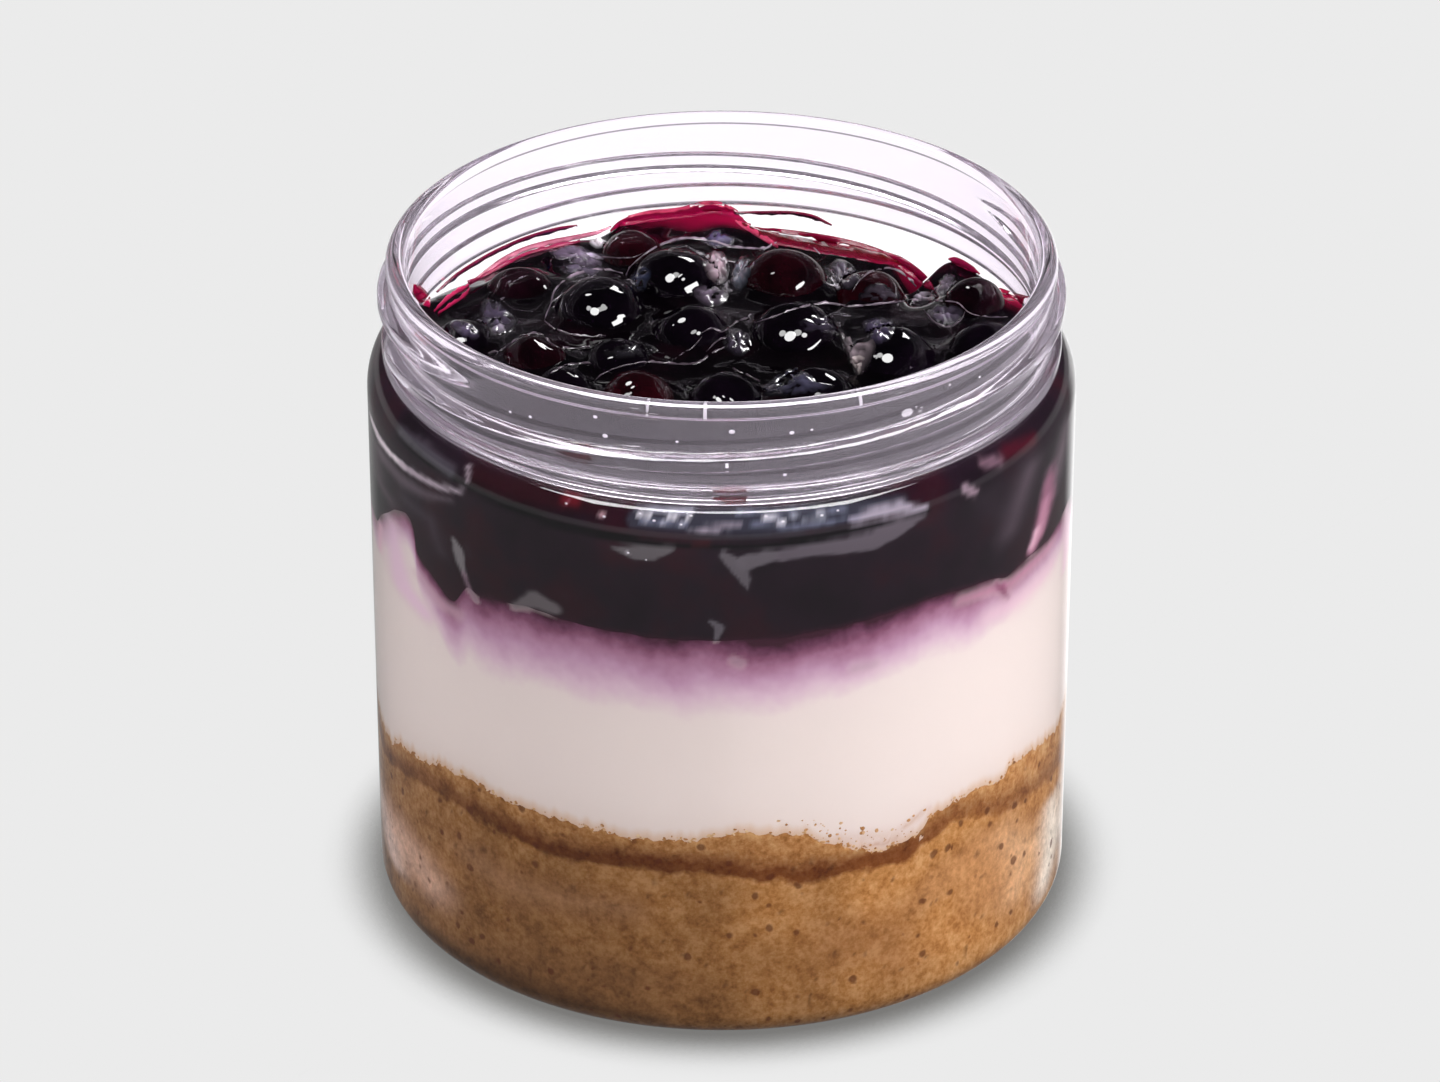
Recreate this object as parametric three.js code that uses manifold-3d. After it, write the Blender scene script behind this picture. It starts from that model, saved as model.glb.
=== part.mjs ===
// A berry cheesecake cup: an open clear jar with a two-start screw neck, filled with a pressed crumb
// base, a cream layer, a dark berry sauce, and whole glazed berries that stand in the sauce.
// Millimetres, +Z up. The origin is the centre of the plane that the jar stands on.
// Azimuths are in degrees: 0 is +X, 90 is the back and 270 is the front.
import * as THREE from "three";
import { mergeVertices } from "three/addons/utils/BufferGeometryUtils.js";
import Module from "manifold-3d";

const wasm = await Module();
wasm.setup();

// Sizes shared by all pieces
const segments = 48; // facets round the jar and round each layer
const gap = 0.3; // space between pieces that touch in the real cup

// Jar
const jarHeight = 72;
const bodyRadius = 36.5;
const bodyWall = 0.8;
const floorThickness = 1;
const footRadius = 2.5; // rounding between the foot ring and the wall
const footRingInner = 26;
const pushUpRadius = 22; // the raised middle of the floor
const pushUpHeight = 1.4;
const shoulderStart = 57.5; // the wall is straight up to here
const neckStart = 61.2;
const neckRootRadius = 34;
const neckRadius = 33.9;
const neckBore = 32.3; // inner radius of the neck
const boreStart = 61.6;
const innerShoulderStart = 57;
const beadRadius = 34.9; // ring under the thread, which the lid comes down to
const beadTop = 63.2;
const beadRounding = 0.3;
const lipRadius = 34.3;
const lipUnderside = 70.5;
const lipRounding = 0.5;

// Thread: two ridges that start half a turn apart
const threadLead = 7.2; // climb in one turn of either ridge
const threadCrest = 35.2;
const threadRoot = neckRadius - 0.4; // sunk in the neck, so that the two join
const threadCrestWidth = 0.9;
const threadRootWidth = 2.5;
const threadTaper = 15; // degrees over which an end runs out to a point
const threadStep = 360 / segments; // the ridge bends where the neck's facets meet
const threads = [
  { topAzimuth: 225, topHeight: 68.7, length: 225 },
  { topAzimuth: 37.5, topHeight: 68.45, length: 217.5 },
];

// Layers. Each wave lifts or lowers a layer's edge at the wall: azimuth, spread in degrees, rise.
const waveReach = 7; // how far a wave runs in from the wall
const crumbHeight = 24;
const crumbWaves = [
  { azimuth: 255, spread: 6, rise: -0.5 },
  { azimuth: 272, spread: 6, rise: 1.1 },
  { azimuth: 295, spread: 7, rise: -3.6 },
  { azimuth: 335, spread: 12, rise: 1.6 },
  { azimuth: 60, spread: 18, rise: -0.8 },
  { azimuth: 120, spread: 20, rise: 0.7 },
  { azimuth: 165, spread: 12, rise: -0.5 },
];
const creamHeight = 47.4;
const creamWaves = [
  { azimuth: 204, spread: 7, rise: 3.2 },
  { azimuth: 219, spread: 4, rise: -2 },
  { azimuth: 238, spread: 5, rise: 2.8 },
  { azimuth: 320, spread: 4, rise: -2.2 },
  { azimuth: 330, spread: 5, rise: 4.8 },
  { azimuth: 20, spread: 9, rise: 1.2 },
  { azimuth: 70, spread: 14, rise: -1 },
  { azimuth: 125, spread: 10, rise: 1.6 },
  { azimuth: 165, spread: 8, rise: -1.2 },
];
const sauceHeight = 58.2;
const sauceRim = 1.3; // climb of the sauce where it meets the wall
const sauceRimReach = 2.4;
const sauceWaves = [
  { azimuth: 270, spread: 50, rise: 0.6 },
  { azimuth: 15, spread: 9, rise: 0.8 },
  { azimuth: 38, spread: 6, rise: -0.9 },
  { azimuth: 93, spread: 12, rise: 0.8 },
  { azimuth: 115, spread: 5, rise: -0.8 },
  { azimuth: 165, spread: 9, rise: 0.6 },
];
const layerRings = [0.93, 0.78, 0.5]; // rings across a layer's face, as shares of its radius
const sauceRings = [0.96, 0.88, 0.76, 0.62, 0.46, 0.25];

// Berries that show from the front, from the back wall forward: place, radius and height of the top
const shownBerries = [
  { x: -9.6, y: 26.8, radius: 3.5, top: 61.1 },
  { x: -5, y: 20.2, radius: 4.8, top: 62.2 },
  { x: 6.6, y: 20.6, radius: 4.9, top: 61.8 },
  { x: 15.6, y: 18, radius: 3.9, top: 60.8 },
  { x: 26.6, y: 14.8, radius: 3.5, top: 61.4 },
  { x: -21.3, y: 19.2, radius: 4.3, top: 60.5 },
  { x: -12.8, y: 13.6, radius: 5.1, top: 62.2 },
  { x: -3.4, y: 8.6, radius: 4.6, top: 61.3 },
  { x: 7.5, y: 8.2, radius: 5.3, top: 61.9 },
  { x: 17.6, y: 2.4, radius: 4.8, top: 62 },
  { x: 27.4, y: 4.6, radius: 4.5, top: 61.2 },
  { x: -26.8, y: 6.4, radius: 3.8, top: 60.8 },
  { x: -19.3, y: 2.8, radius: 3.8, top: 60.8 },
  { x: -10.7, y: 2.4, radius: 4.2, top: 60.6 },
  { x: -16.3, y: -5, radius: 3.5, top: 61.1 },
  { x: -8.5, y: -6.8, radius: 4.4, top: 61.6 },
  { x: 0.4, y: -7.6, radius: 4.2, top: 61.8 },
  { x: 9.7, y: -5.7, radius: 4.6, top: 61.4 },
  { x: 19.2, y: -8.6, radius: 4.8, top: 61.5 },
  { x: 28.2, y: -5.2, radius: 4.2, top: 60.9 },
  { x: -25.6, y: -4.8, radius: 4.4, top: 61 },
];

// The rest of the surface is filled towards the front, larger berries first
const fillRadii = [4.8, 4.4, 4];
const fillFront = -11; // only places in front of this y are filled
const fillReach = 33; // how far out from the axis a berry may reach
const fillRingStep = 0.5;
const fillAngleStep = 2;
const fillTop = 61.2;
const fillTopSpread = 0.5;

// Berry shape
const berrySides = 10;
const berryRows = 6;
const berryFlattening = 0.94; // height of a berry over its width
const calyxDepth = 0.18; // dent at the flower end, as a share of the radius
const berryTilt = 70; // most degrees that a berry leans over

// Surfaces
const clearPlastic = { color: 0xf3f1f6, roughness: 0.05, metalness: 0, transparent: true, opacity: 0.3 };
const biscuitCrumb = { color: 0xb27a48, roughness: 0.95, metalness: 0 };
const creamCheese = { color: 0xf1e6e2, roughness: 0.55, metalness: 0 };
const darkSauce = { color: 0x2b0b1c, roughness: 0.12, metalness: 0 };
const berrySkin = { color: 0x120a12, roughness: 0.1, metalness: 0 };

// Turns one seed into a row of numbers between 0 and 1.
function seededDraw(seed) {
  let state = seed;
  return () => {
    state = (state * 16807) % 2147483647;
    return state / 2147483647;
  };
}

function solidFrom(geometry) {
  const bare = geometry.clone();
  bare.deleteAttribute("normal");
  bare.deleteAttribute("uv");
  const merged = mergeVertices(bare, 1e-4);
  return new wasm.Manifold(
    new wasm.Mesh({
      numProp: 3,
      vertProperties: merged.attributes.position.array,
      triVerts: new Uint32Array(merged.index.array),
    }),
  );
}

function geometryFrom(solid) {
  const mesh = solid.getMesh();
  const geometry = new THREE.BufferGeometry();
  geometry.setAttribute("position", new THREE.BufferAttribute(mesh.vertProperties, 3));
  geometry.setIndex(new THREE.BufferAttribute(mesh.triVerts, 1));
  geometry.computeVertexNormals();
  return geometry;
}

function meshNamed(name, geometry, surface) {
  const mesh = new THREE.Mesh(geometry, new THREE.MeshStandardMaterial(surface));
  mesh.name = name;
  return mesh;
}

// A round solid from the axis at its foot to the axis at its top. Each ring gives radius and height
// for an azimuth in degrees. Where rings shrink, the quads split the other way, so that the faces of
// two layers that touch match.
function ringSolid(footHeight, rings, topHeight) {
  const points = [0, 0, footHeight];
  const radii = [0];
  for (const ring of rings) {
    for (let side = 0; side < segments; side++) {
      const azimuth = (360 * side) / segments;
      const angle = THREE.MathUtils.degToRad(azimuth);
      const [radius, height] = ring(azimuth);
      points.push(radius * Math.cos(angle), radius * Math.sin(angle), height);
      radii.push(radius);
    }
  }
  points.push(0, 0, topHeight);
  const last = points.length / 3 - 1;
  const at = (ring, side) => 1 + ring * segments + (side % segments);
  const faces = [];
  for (let side = 0; side < segments; side++) {
    faces.push(0, at(0, side + 1), at(0, side));
    for (let ring = 0; ring + 1 < rings.length; ring++) {
      const [a, b] = [at(ring, side), at(ring, side + 1)];
      const [c, d] = [at(ring + 1, side + 1), at(ring + 1, side)];
      if (radii[d] < radii[a]) faces.push(a, b, c, a, c, d);
      else faces.push(a, b, d, b, c, d);
    }
    faces.push(last, at(rings.length - 1, side), at(rings.length - 1, side + 1));
  }
  const geometry = new THREE.BufferGeometry();
  geometry.setAttribute("position", new THREE.Float32BufferAttribute(points, 3));
  geometry.setIndex(faces);
  geometry.computeVertexNormals();
  return geometry;
}

// Points of an elliptical arc, as radius and height, with both ends.
function arc(radius, height, radiusReach, heightReach, from, to, steps) {
  const points = [];
  for (let step = 0; step <= steps; step++) {
    const angle = THREE.MathUtils.degToRad(from + ((to - from) * step) / steps);
    points.push([radius + radiusReach * Math.cos(angle), height + heightReach * Math.sin(angle)]);
  }
  return points;
}

// The rise that waves give at one azimuth, fading inwards from the wall.
function waveRise(waves, azimuth, fromWall) {
  let rise = 0;
  for (const wave of waves) {
    const turn = Math.abs(azimuth - wave.azimuth) % 360;
    const away = Math.min(turn, 360 - turn) / wave.spread;
    rise += wave.rise * Math.exp(-away * away);
  }
  return rise * Math.exp(-fromWall / waveReach);
}

const bodyBore = bodyRadius - bodyWall;

function crumbTop(azimuth, radius) {
  return crumbHeight + waveRise(crumbWaves, azimuth, bodyBore - radius);
}

function creamTop(azimuth, radius) {
  return creamHeight + waveRise(creamWaves, azimuth, bodyBore - radius);
}

function sauceTop(azimuth, radius) {
  const fromWall = Math.max(0, neckRootRadius - radius);
  const rim = sauceRim * Math.exp(-fromWall / sauceRimReach);
  return sauceHeight + rim + waveRise(sauceWaves, azimuth, fromWall);
}

// Inner radius of the jar at a height: the straight bore, then the inside of the shoulder.
function boreAt(height) {
  const climb = (height - innerShoulderStart) / (boreStart - innerShoulderStart);
  if (climb <= 0) return bodyBore;
  if (climb >= 1) return neckBore;
  return neckBore + (bodyBore - neckBore) * Math.sqrt(1 - climb * climb);
}

// Jar shell, turned from one closed profile: outside from the floor to the lip, then the inside.
function jarShell() {
  const shoulderDepth = bodyRadius - neckRootRadius;
  const outside = [
    [0, pushUpHeight],
    [pushUpRadius, pushUpHeight],
    [footRingInner, 0],
    ...arc(bodyRadius - footRadius, footRadius, footRadius, footRadius, -90, 0, 3),
    ...arc(neckRootRadius, shoulderStart, shoulderDepth, neckStart - shoulderStart, 0, 90, 4),
    [beadRadius, neckStart + beadRounding],
    [beadRadius, beadTop - beadRounding],
    [neckRadius, beadTop],
    [neckRadius, lipUnderside],
    ...arc(lipRadius - lipRounding, lipUnderside + lipRounding, lipRounding, lipRounding, -45, 0, 1),
    ...arc(lipRadius - lipRounding, jarHeight - lipRounding, lipRounding, lipRounding, 0, 90, 2),
  ];
  const innerFoot = footRadius - bodyWall;
  const inside = [
    ...arc(neckBore + lipRounding, jarHeight - lipRounding, lipRounding, lipRounding, 90, 180, 2),
    ...arc(
      neckBore, innerShoulderStart, bodyBore - neckBore, boreStart - innerShoulderStart, 90, 0, 4,
    ),
    ...arc(bodyBore - innerFoot, floorThickness + innerFoot, innerFoot, innerFoot, 0, -90, 3),
    [footRingInner, floorThickness],
    [pushUpRadius, pushUpHeight + floorThickness],
    [0, pushUpHeight + floorThickness],
  ];
  const profile = [...outside, ...inside].map(([radius, height]) => new THREE.Vector2(radius, height));
  const shell = new THREE.LatheGeometry(profile, segments);
  shell.rotateX(Math.PI / 2); // the lathe turns about Y
  shell.rotateZ(-Math.PI / 2); // puts a corner of the outline on +X
  return shell;
}

// One ridge of the thread, swept down from its top end as a closed four-sided bar.
function threadRidge({ topAzimuth, topHeight, length }) {
  const steps = Math.round(length / threadStep);
  const points = [];
  const faces = [];
  for (let step = 0; step <= steps; step++) {
    const turned = (length * step) / steps;
    const angle = THREE.MathUtils.degToRad(topAzimuth - turned);
    const height = topHeight - (threadLead * turned) / 360;
    const fromEnd = Math.min(turned, length - turned) / threadTaper;
    const size = Math.max(0.15, Math.min(1, fromEnd));
    const crest = threadRoot + (threadCrest - threadRoot) * size;
    const section = [
      [threadRoot, (-threadRootWidth / 2) * size],
      [crest, (-threadCrestWidth / 2) * size],
      [crest, (threadCrestWidth / 2) * size],
      [threadRoot, (threadRootWidth / 2) * size],
    ];
    for (const [radius, offset] of section) {
      points.push(radius * Math.cos(angle), radius * Math.sin(angle), height + offset);
    }
  }
  const corners = 4;
  for (let step = 0; step < steps; step++) {
    for (let corner = 0; corner < corners; corner++) {
      const here = step * corners + corner;
      const next = step * corners + ((corner + 1) % corners);
      faces.push(here, next, here + corners);
      faces.push(next, next + corners, here + corners);
    }
  }
  const end = steps * corners;
  faces.push(0, 2, 1, 0, 3, 2);
  faces.push(end, end + 1, end + 2, end, end + 2, end + 3);
  const geometry = new THREE.BufferGeometry();
  geometry.setAttribute("position", new THREE.Float32BufferAttribute(points, 3));
  geometry.setIndex(faces);
  return geometry;
}

function makeJar() {
  let jar = solidFrom(jarShell());
  for (const thread of threads) {
    jar = jar.add(solidFrom(threadRidge(thread)));
  }
  return geometryFrom(jar);
}

// Rings across the face of a layer, from the wall inwards or from the axis outwards.
function faceRings(heightAt, edgeRadius, offset, inwards) {
  const rings = layerRings.map((share) => (azimuth) => {
    const radius = share * edgeRadius;
    return [radius, heightAt(azimuth, radius) + offset];
  });
  return inwards ? rings : rings.reverse();
}

function makeCrumb() {
  const edge = bodyBore - gap;
  const foot = floorThickness + gap;
  const rounding = footRadius - bodyWall;
  const rings = [
    () => [pushUpRadius, pushUpHeight + foot],
    () => [footRingInner, foot],
  ];
  for (const [radius, height] of arc(edge - rounding, foot + rounding, rounding, rounding, -90, 0, 2)) {
    rings.push(() => [radius, height]);
  }
  rings.push((azimuth) => [edge, crumbTop(azimuth, edge)]);
  rings.push(...faceRings(crumbTop, edge, 0, true));
  return ringSolid(pushUpHeight + foot, rings, crumbTop(0, 0));
}

function makeCream() {
  const edge = bodyBore - gap;
  const rings = [
    ...faceRings(crumbTop, edge, gap, false),
    (azimuth) => [edge, crumbTop(azimuth, edge) + gap],
    (azimuth) => [edge, creamTop(azimuth, edge)],
    ...faceRings(creamTop, edge, 0, true),
  ];
  return ringSolid(crumbTop(0, 0) + gap, rings, creamTop(0, 0));
}

// Sauce: from the cream up into the neck root, with a hollow for each berry.
function makeSauce(berries) {
  const edge = bodyBore - gap;
  const edgeTop = (azimuth) => sauceTop(azimuth, neckRootRadius);
  const rings = [
    ...faceRings(creamTop, edge, gap, false),
    (azimuth) => [edge, creamTop(azimuth, edge) + gap],
    () => [edge, innerShoulderStart],
  ];
  for (const share of [0.5, 1]) {
    rings.push((azimuth) => {
      const height = innerShoulderStart + share * (edgeTop(azimuth) - innerShoulderStart);
      return [boreAt(height) - gap, height];
    });
  }
  for (const share of sauceRings) {
    rings.push((azimuth) => {
      const radius = share * (boreAt(edgeTop(azimuth)) - gap);
      return [radius, sauceTop(azimuth, radius)];
    });
  }
  let sauce = solidFrom(ringSolid(creamTop(0, 0) + gap, rings, sauceTop(0, 0)));
  for (const berry of berries) {
    sauce = sauce.subtract(solidFrom(berryGeometry(berry, gap)));
  }
  return geometryFrom(sauce);
}

function isClear(place, berries) {
  return berries.every((other) => {
    const between = Math.hypot(place.x - other.x, place.y - other.y, centreOf(place) - centreOf(other));
    return between >= place.radius + other.radius + gap;
  });
}

function centreOf(berry) {
  return berry.top - berry.radius;
}

// Adds berries over the front of the surface, ring by ring from the wall inwards.
function fillWithBerries(shown) {
  const draw = seededDraw(7);
  const berries = [...shown];
  for (const radius of fillRadii) {
    for (let reach = fillReach - radius; reach > 0; reach -= fillRingStep) {
      for (let azimuth = 180; azimuth < 360; azimuth += fillAngleStep) {
        const angle = THREE.MathUtils.degToRad(azimuth);
        const place = {
          x: reach * Math.cos(angle),
          y: reach * Math.sin(angle),
          radius,
          top: fillTop + fillTopSpread * (2 * draw() - 1),
        };
        if (place.y < fillFront && isClear(place, berries)) berries.push(place);
      }
    }
  }
  return berries;
}

// A berry is a slightly flattened ball with a dent at its flower end, leaning a way of its own.
function berryGeometry(berry, extra = 0) {
  const geometry = new THREE.SphereGeometry(1, berrySides, berryRows);
  const position = geometry.attributes.position;
  for (let i = 0; i < position.count; i++) {
    const dent = Math.max(0, position.getY(i) - 0.9) * 10 * calyxDepth;
    position.setY(i, (position.getY(i) - dent) * berryFlattening);
  }
  geometry.rotateX(Math.PI / 2); // the flower end now points up
  const size = berry.radius + extra;
  geometry.scale(size, size, size);
  const lean = new THREE.Vector3(Math.cos(berry.heading), Math.sin(berry.heading), 0);
  geometry.applyQuaternion(new THREE.Quaternion().setFromAxisAngle(lean, berry.lean));
  geometry.translate(berry.x, berry.y, centreOf(berry));
  return geometry;
}

function placeBerries() {
  const draw = seededDraw(31);
  return fillWithBerries(shownBerries).map((berry) => ({
    ...berry,
    heading: 2 * Math.PI * draw(),
    lean: THREE.MathUtils.degToRad(berryTilt) * draw(),
  }));
}

const cup = new THREE.Group();
const berries = placeBerries();
cup.add(meshNamed("jar", makeJar(), clearPlastic));
cup.add(meshNamed("crumb_base", makeCrumb(), biscuitCrumb));
cup.add(meshNamed("cream", makeCream(), creamCheese));
cup.add(meshNamed("berry_sauce", makeSauce(berries), darkSauce));
berries.forEach((berry, index) => {
  const name = `berry_${String(index + 1).padStart(2, "0")}`;
  cup.add(meshNamed(name, berryGeometry(berry), berrySkin));
});

export default cup;
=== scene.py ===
import math

import bmesh
import bpy
from mathutils import Matrix, Vector, noise
from mathutils.bvhtree import BVHTree


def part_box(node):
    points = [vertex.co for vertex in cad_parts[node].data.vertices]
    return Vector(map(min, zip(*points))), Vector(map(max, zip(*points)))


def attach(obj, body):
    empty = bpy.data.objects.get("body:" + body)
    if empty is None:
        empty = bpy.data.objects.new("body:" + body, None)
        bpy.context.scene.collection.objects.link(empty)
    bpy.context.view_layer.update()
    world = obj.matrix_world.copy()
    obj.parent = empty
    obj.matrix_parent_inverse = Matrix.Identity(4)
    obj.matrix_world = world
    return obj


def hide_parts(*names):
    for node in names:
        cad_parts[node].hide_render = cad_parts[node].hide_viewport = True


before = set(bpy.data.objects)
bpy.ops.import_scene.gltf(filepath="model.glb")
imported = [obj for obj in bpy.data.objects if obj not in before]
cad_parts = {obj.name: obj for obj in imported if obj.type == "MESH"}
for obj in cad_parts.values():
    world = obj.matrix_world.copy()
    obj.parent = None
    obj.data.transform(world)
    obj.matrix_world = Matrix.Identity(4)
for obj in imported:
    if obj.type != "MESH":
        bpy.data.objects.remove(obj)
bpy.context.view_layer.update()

mm = 0.001
turnSteps = 720  # columns round every layer


# sRGB hex to the linear colour that shaders want
def colour(code):
    parts = [int(code[place:place + 2], 16) / 255 for place in (1, 3, 5)]
    return [part / 12.92 if part <= 0.04045 else ((part + 0.055) / 1.055) ** 2.4 for part in parts] + [1.0]


# Adds a node; an input that is given a socket is linked, any other gets its value
def addNode(tree, kind, settings=None, inputs=None):
    node = tree.nodes.new(kind)
    for name, value in (settings or {}).items():
        if name == "stops":
            ramp = node.color_ramp.elements
            while len(ramp) < len(value):
                ramp.new(0.5)
            for stop, (place, code) in zip(ramp, value):
                stop.position = place
                stop.color = colour(code)
        else:
            setattr(node, name, value)
    for key, value in (inputs or {}).items():
        if isinstance(value, bpy.types.NodeSocket):
            tree.links.new(value, node.inputs[key])
        else:
            node.inputs[key].default_value = value
    return node


# Size in mm of a pattern's features to the scale that a texture wants
def scaleOf(size):
    return 1 / (size * mm)


def newMaterial(name):
    material = bpy.data.materials.new(name)
    material.use_nodes = True
    return material, material.node_tree, material.node_tree.nodes["Principled BSDF"]


# Turns a finished bmesh into a piece that rides on the cup
def finishPiece(name, bm, materials, replaced=()):
    mesh = bpy.data.meshes.new(name)
    for face in bm.faces:
        face.smooth = True
    bm.to_mesh(mesh)
    bm.free()
    piece = bpy.data.objects.new(name, mesh)
    bpy.context.scene.collection.objects.link(piece)
    for material in materials:
        mesh.materials.append(material)
    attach(piece, "root")
    if replaced:
        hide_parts(*replaced)
    print("made", name, len(mesh.polygons), "faces")
    return piece


# Joins one bmesh to another
def addTo(whole, bm):
    scratch = bpy.data.meshes.new("scratch")
    bm.to_mesh(scratch)
    bm.free()
    whole.from_mesh(scratch)
    bpy.data.meshes.remove(scratch)


def arcPoints(radius, height, radiusReach, heightReach, start, end, steps):
    points = []
    for step in range(steps + 1):
        angle = math.radians(start + (end - start) * step / steps)
        points.append((radius + radiusReach * math.cos(angle), height + heightReach * math.sin(angle)))
    return points


# Points along a line, no further apart than spacing
def linePoints(start, end, spacing):
    count = max(1, math.ceil(math.dist(start, end) / spacing))
    return [
        (start[0] + (end[0] - start[0]) * step / count, start[1] + (end[1] - start[1]) * step / count)
        for step in range(count + 1)
    ]


# Spins a profile of (radius, height) in mm round the cup's axis
def spinProfile(points, steps):
    bm = bmesh.new()
    previous = None
    for radius, height in points:
        if previous and (previous.co - Vector((radius * mm, 0, height * mm))).length < 0.001 * mm:
            continue
        vertex = bm.verts.new((radius * mm, 0, height * mm))
        if previous:
            bm.edges.new((previous, vertex))
        previous = vertex
    bmesh.ops.spin(
        bm, geom=bm.verts[:] + bm.edges[:], cent=(0, 0, 0), axis=(0, 0, 1), angle=math.tau, steps=steps,
        use_merge=True,
    )
    bmesh.ops.remove_doubles(bm, verts=bm.verts[:], dist=0.001 * mm)
    bmesh.ops.recalc_face_normals(bm, faces=bm.faces[:])
    return bm


def smoothStep(low, high, value):
    share = min(1.0, max(0.0, (value - low) / (high - low)))
    return share * share * (3 - 2 * share)


def turnBetween(one, other):
    turn = abs(one - other) % 360
    return min(turn, 360 - turn)


# Azimuth in degrees and radius in mm of a vertex
def polar(co):
    return math.degrees(math.atan2(co.y, co.x)) % 360, math.hypot(co.x, co.y) / mm


def placeAt(vertex, azimuth, radius, height):
    angle = math.radians(azimuth)
    vertex.co = (radius * math.cos(angle) * mm, radius * math.sin(angle) * mm, height * mm)


# Even noise on the surface of the cup, with features of the given size in mm
def roughAt(azimuth, radius, height, size, seed=0):
    angle = math.radians(azimuth)
    place = Vector((radius * math.cos(angle), radius * math.sin(angle), height)) / size
    return noise.noise(place + Vector((seed * 17.3, seed * 5.1, seed * 9.7)))


photo = {"width": 1440, "height": 1082}  # the frame that every pixel in this script is in
view = {
    "lens": 153.9,
    "sensor": 36,
    "distance": 643.9,  # mm
    "targetHeight": 38.16,
    "aside": -0.173,
    "elevation": 29.1,
}
studio = {
    "floor": "#ebebeb",
    "contact": "#7a7977",  # the painted soft shadow that hugs the foot
    "contactReach": 9,  # mm
    "overhead": 0.04,  # the dark studio above the cup
    "horizon": 0.4,
    "front": 0.18,  # table in front, as the plastic mirrors it
    "back": 1.3,
    "left": 0.12,  # share of that at the left
    "behindPlastic": 1.6,  # how much brighter the board is seen through the plastic
    "floorSize": 3,  # m
    "floorGap": 0.02,  # mm under the foot
    "lampTarget": 58,  # mm, the height that the lamps point at
    "lampDistance": 0.5,  # m
    "gleamDistance": 0.7,
}
# Small lamps that only show as highlights: direction, width and height in degrees, strength, and the
# berries that each one glints on
sparkles = [
    ((-0.19, -0.385, 0.90), 24, 24, 55, (2, 7, 9, 10, 12, 17, 19, 22, 25, 28)),
    ((0.73, -0.49, 0.478), 38, 13, 62, (2, 3, 7, 9, 16, 20, 24, 27)),
    ((-0.32, 0.40, 0.86), 14, 14, 44, (5, 7, 8, 14, 16, 21, 23, 26)),
    ((0.75, 0.465, 0.47), 16, 16, 38, (1, 3, 4, 5, 6, 9, 10, 29)),
    ((0.30, 0.74, 0.60), 22, 8, 50, (1, 2, 6, 7, 10, 13, 15, 18)),
    ((0.98, -0.12, 0.15), 24, 10, 50, (2, 5, 6, 8, 9, 11, 19)),
    ((0.08, -0.28, 0.96), 17, 17, 26, (2, 7, 8, 9, 12, 18, 20)),
    ((-0.44, -0.18, 0.88), 13, 13, 30, (3, 7, 9, 10, 16, 17, 24)),
    ((0.34, -0.36, 0.87), 12, 12, 48, (2, 8, 9, 17, 19, 20, 25)),
]
# Soft boxes that only show as gleams on the plastic
gleams = [
    ((0, 0.12, 1), 56, 46, 13.5),
]
# Soft lights that only light: direction, width in degrees, strength
softLights = [
    ((0.80, -0.42, 0.46), 45, 4.38),
    ((-0.50, -0.60, 0.62), 45, 1.55),
    ((0.1, 0.35, 0.93), 45, 1.6),
]
# What each sparkle, and the gleams, show on
sparkleReceivers = [
    bpy.data.collections.new(f"shownBySparkle{number}") for number in range(len(sparkles))
]
gleamReceivers = bpy.data.collections.new("shownByGleam")


def addLamp(name, direction, width, height, strength, distance=studio["lampDistance"]):
    lamp = bpy.data.lights.new(name, "AREA")
    lamp.shape = "DISK" if width == height else "RECTANGLE"
    lamp.size = 2 * distance * math.tan(math.radians(width / 2))
    area = lamp.size ** 2 * math.pi / 4
    if width != height:
        lamp.size_y = 2 * distance * math.tan(math.radians(height / 2))
        area = lamp.size * lamp.size_y
    lamp.energy = strength * math.pi * area
    lampObject = bpy.data.objects.new(name, lamp)
    way = Vector(direction).normalized()
    lampObject.location = Vector((0, 0, studio["lampTarget"] * mm)) + way * distance
    lampObject.rotation_euler = way.to_track_quat("Z", "Y").to_euler()
    bpy.context.scene.collection.objects.link(lampObject)
    return lampObject


def makeCamera():
    camera = bpy.data.objects.new("camera", bpy.data.cameras.new("camera"))
    camera.data.lens = view["lens"]
    camera.data.sensor_width = view["sensor"]
    camera.data.clip_start = 0.01
    rise = math.radians(view["elevation"])
    reach = view["distance"] * mm
    camera.location = (
        view["aside"] * mm,
        -reach * math.cos(rise),
        view["targetHeight"] * mm + reach * math.sin(rise),
    )
    camera.rotation_euler = (math.pi / 2 - rise, 0, 0)
    bpy.context.scene.collection.objects.link(camera)
    bpy.context.scene.camera = camera
    bpy.context.scene.view_settings.view_transform = "Standard"


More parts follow.
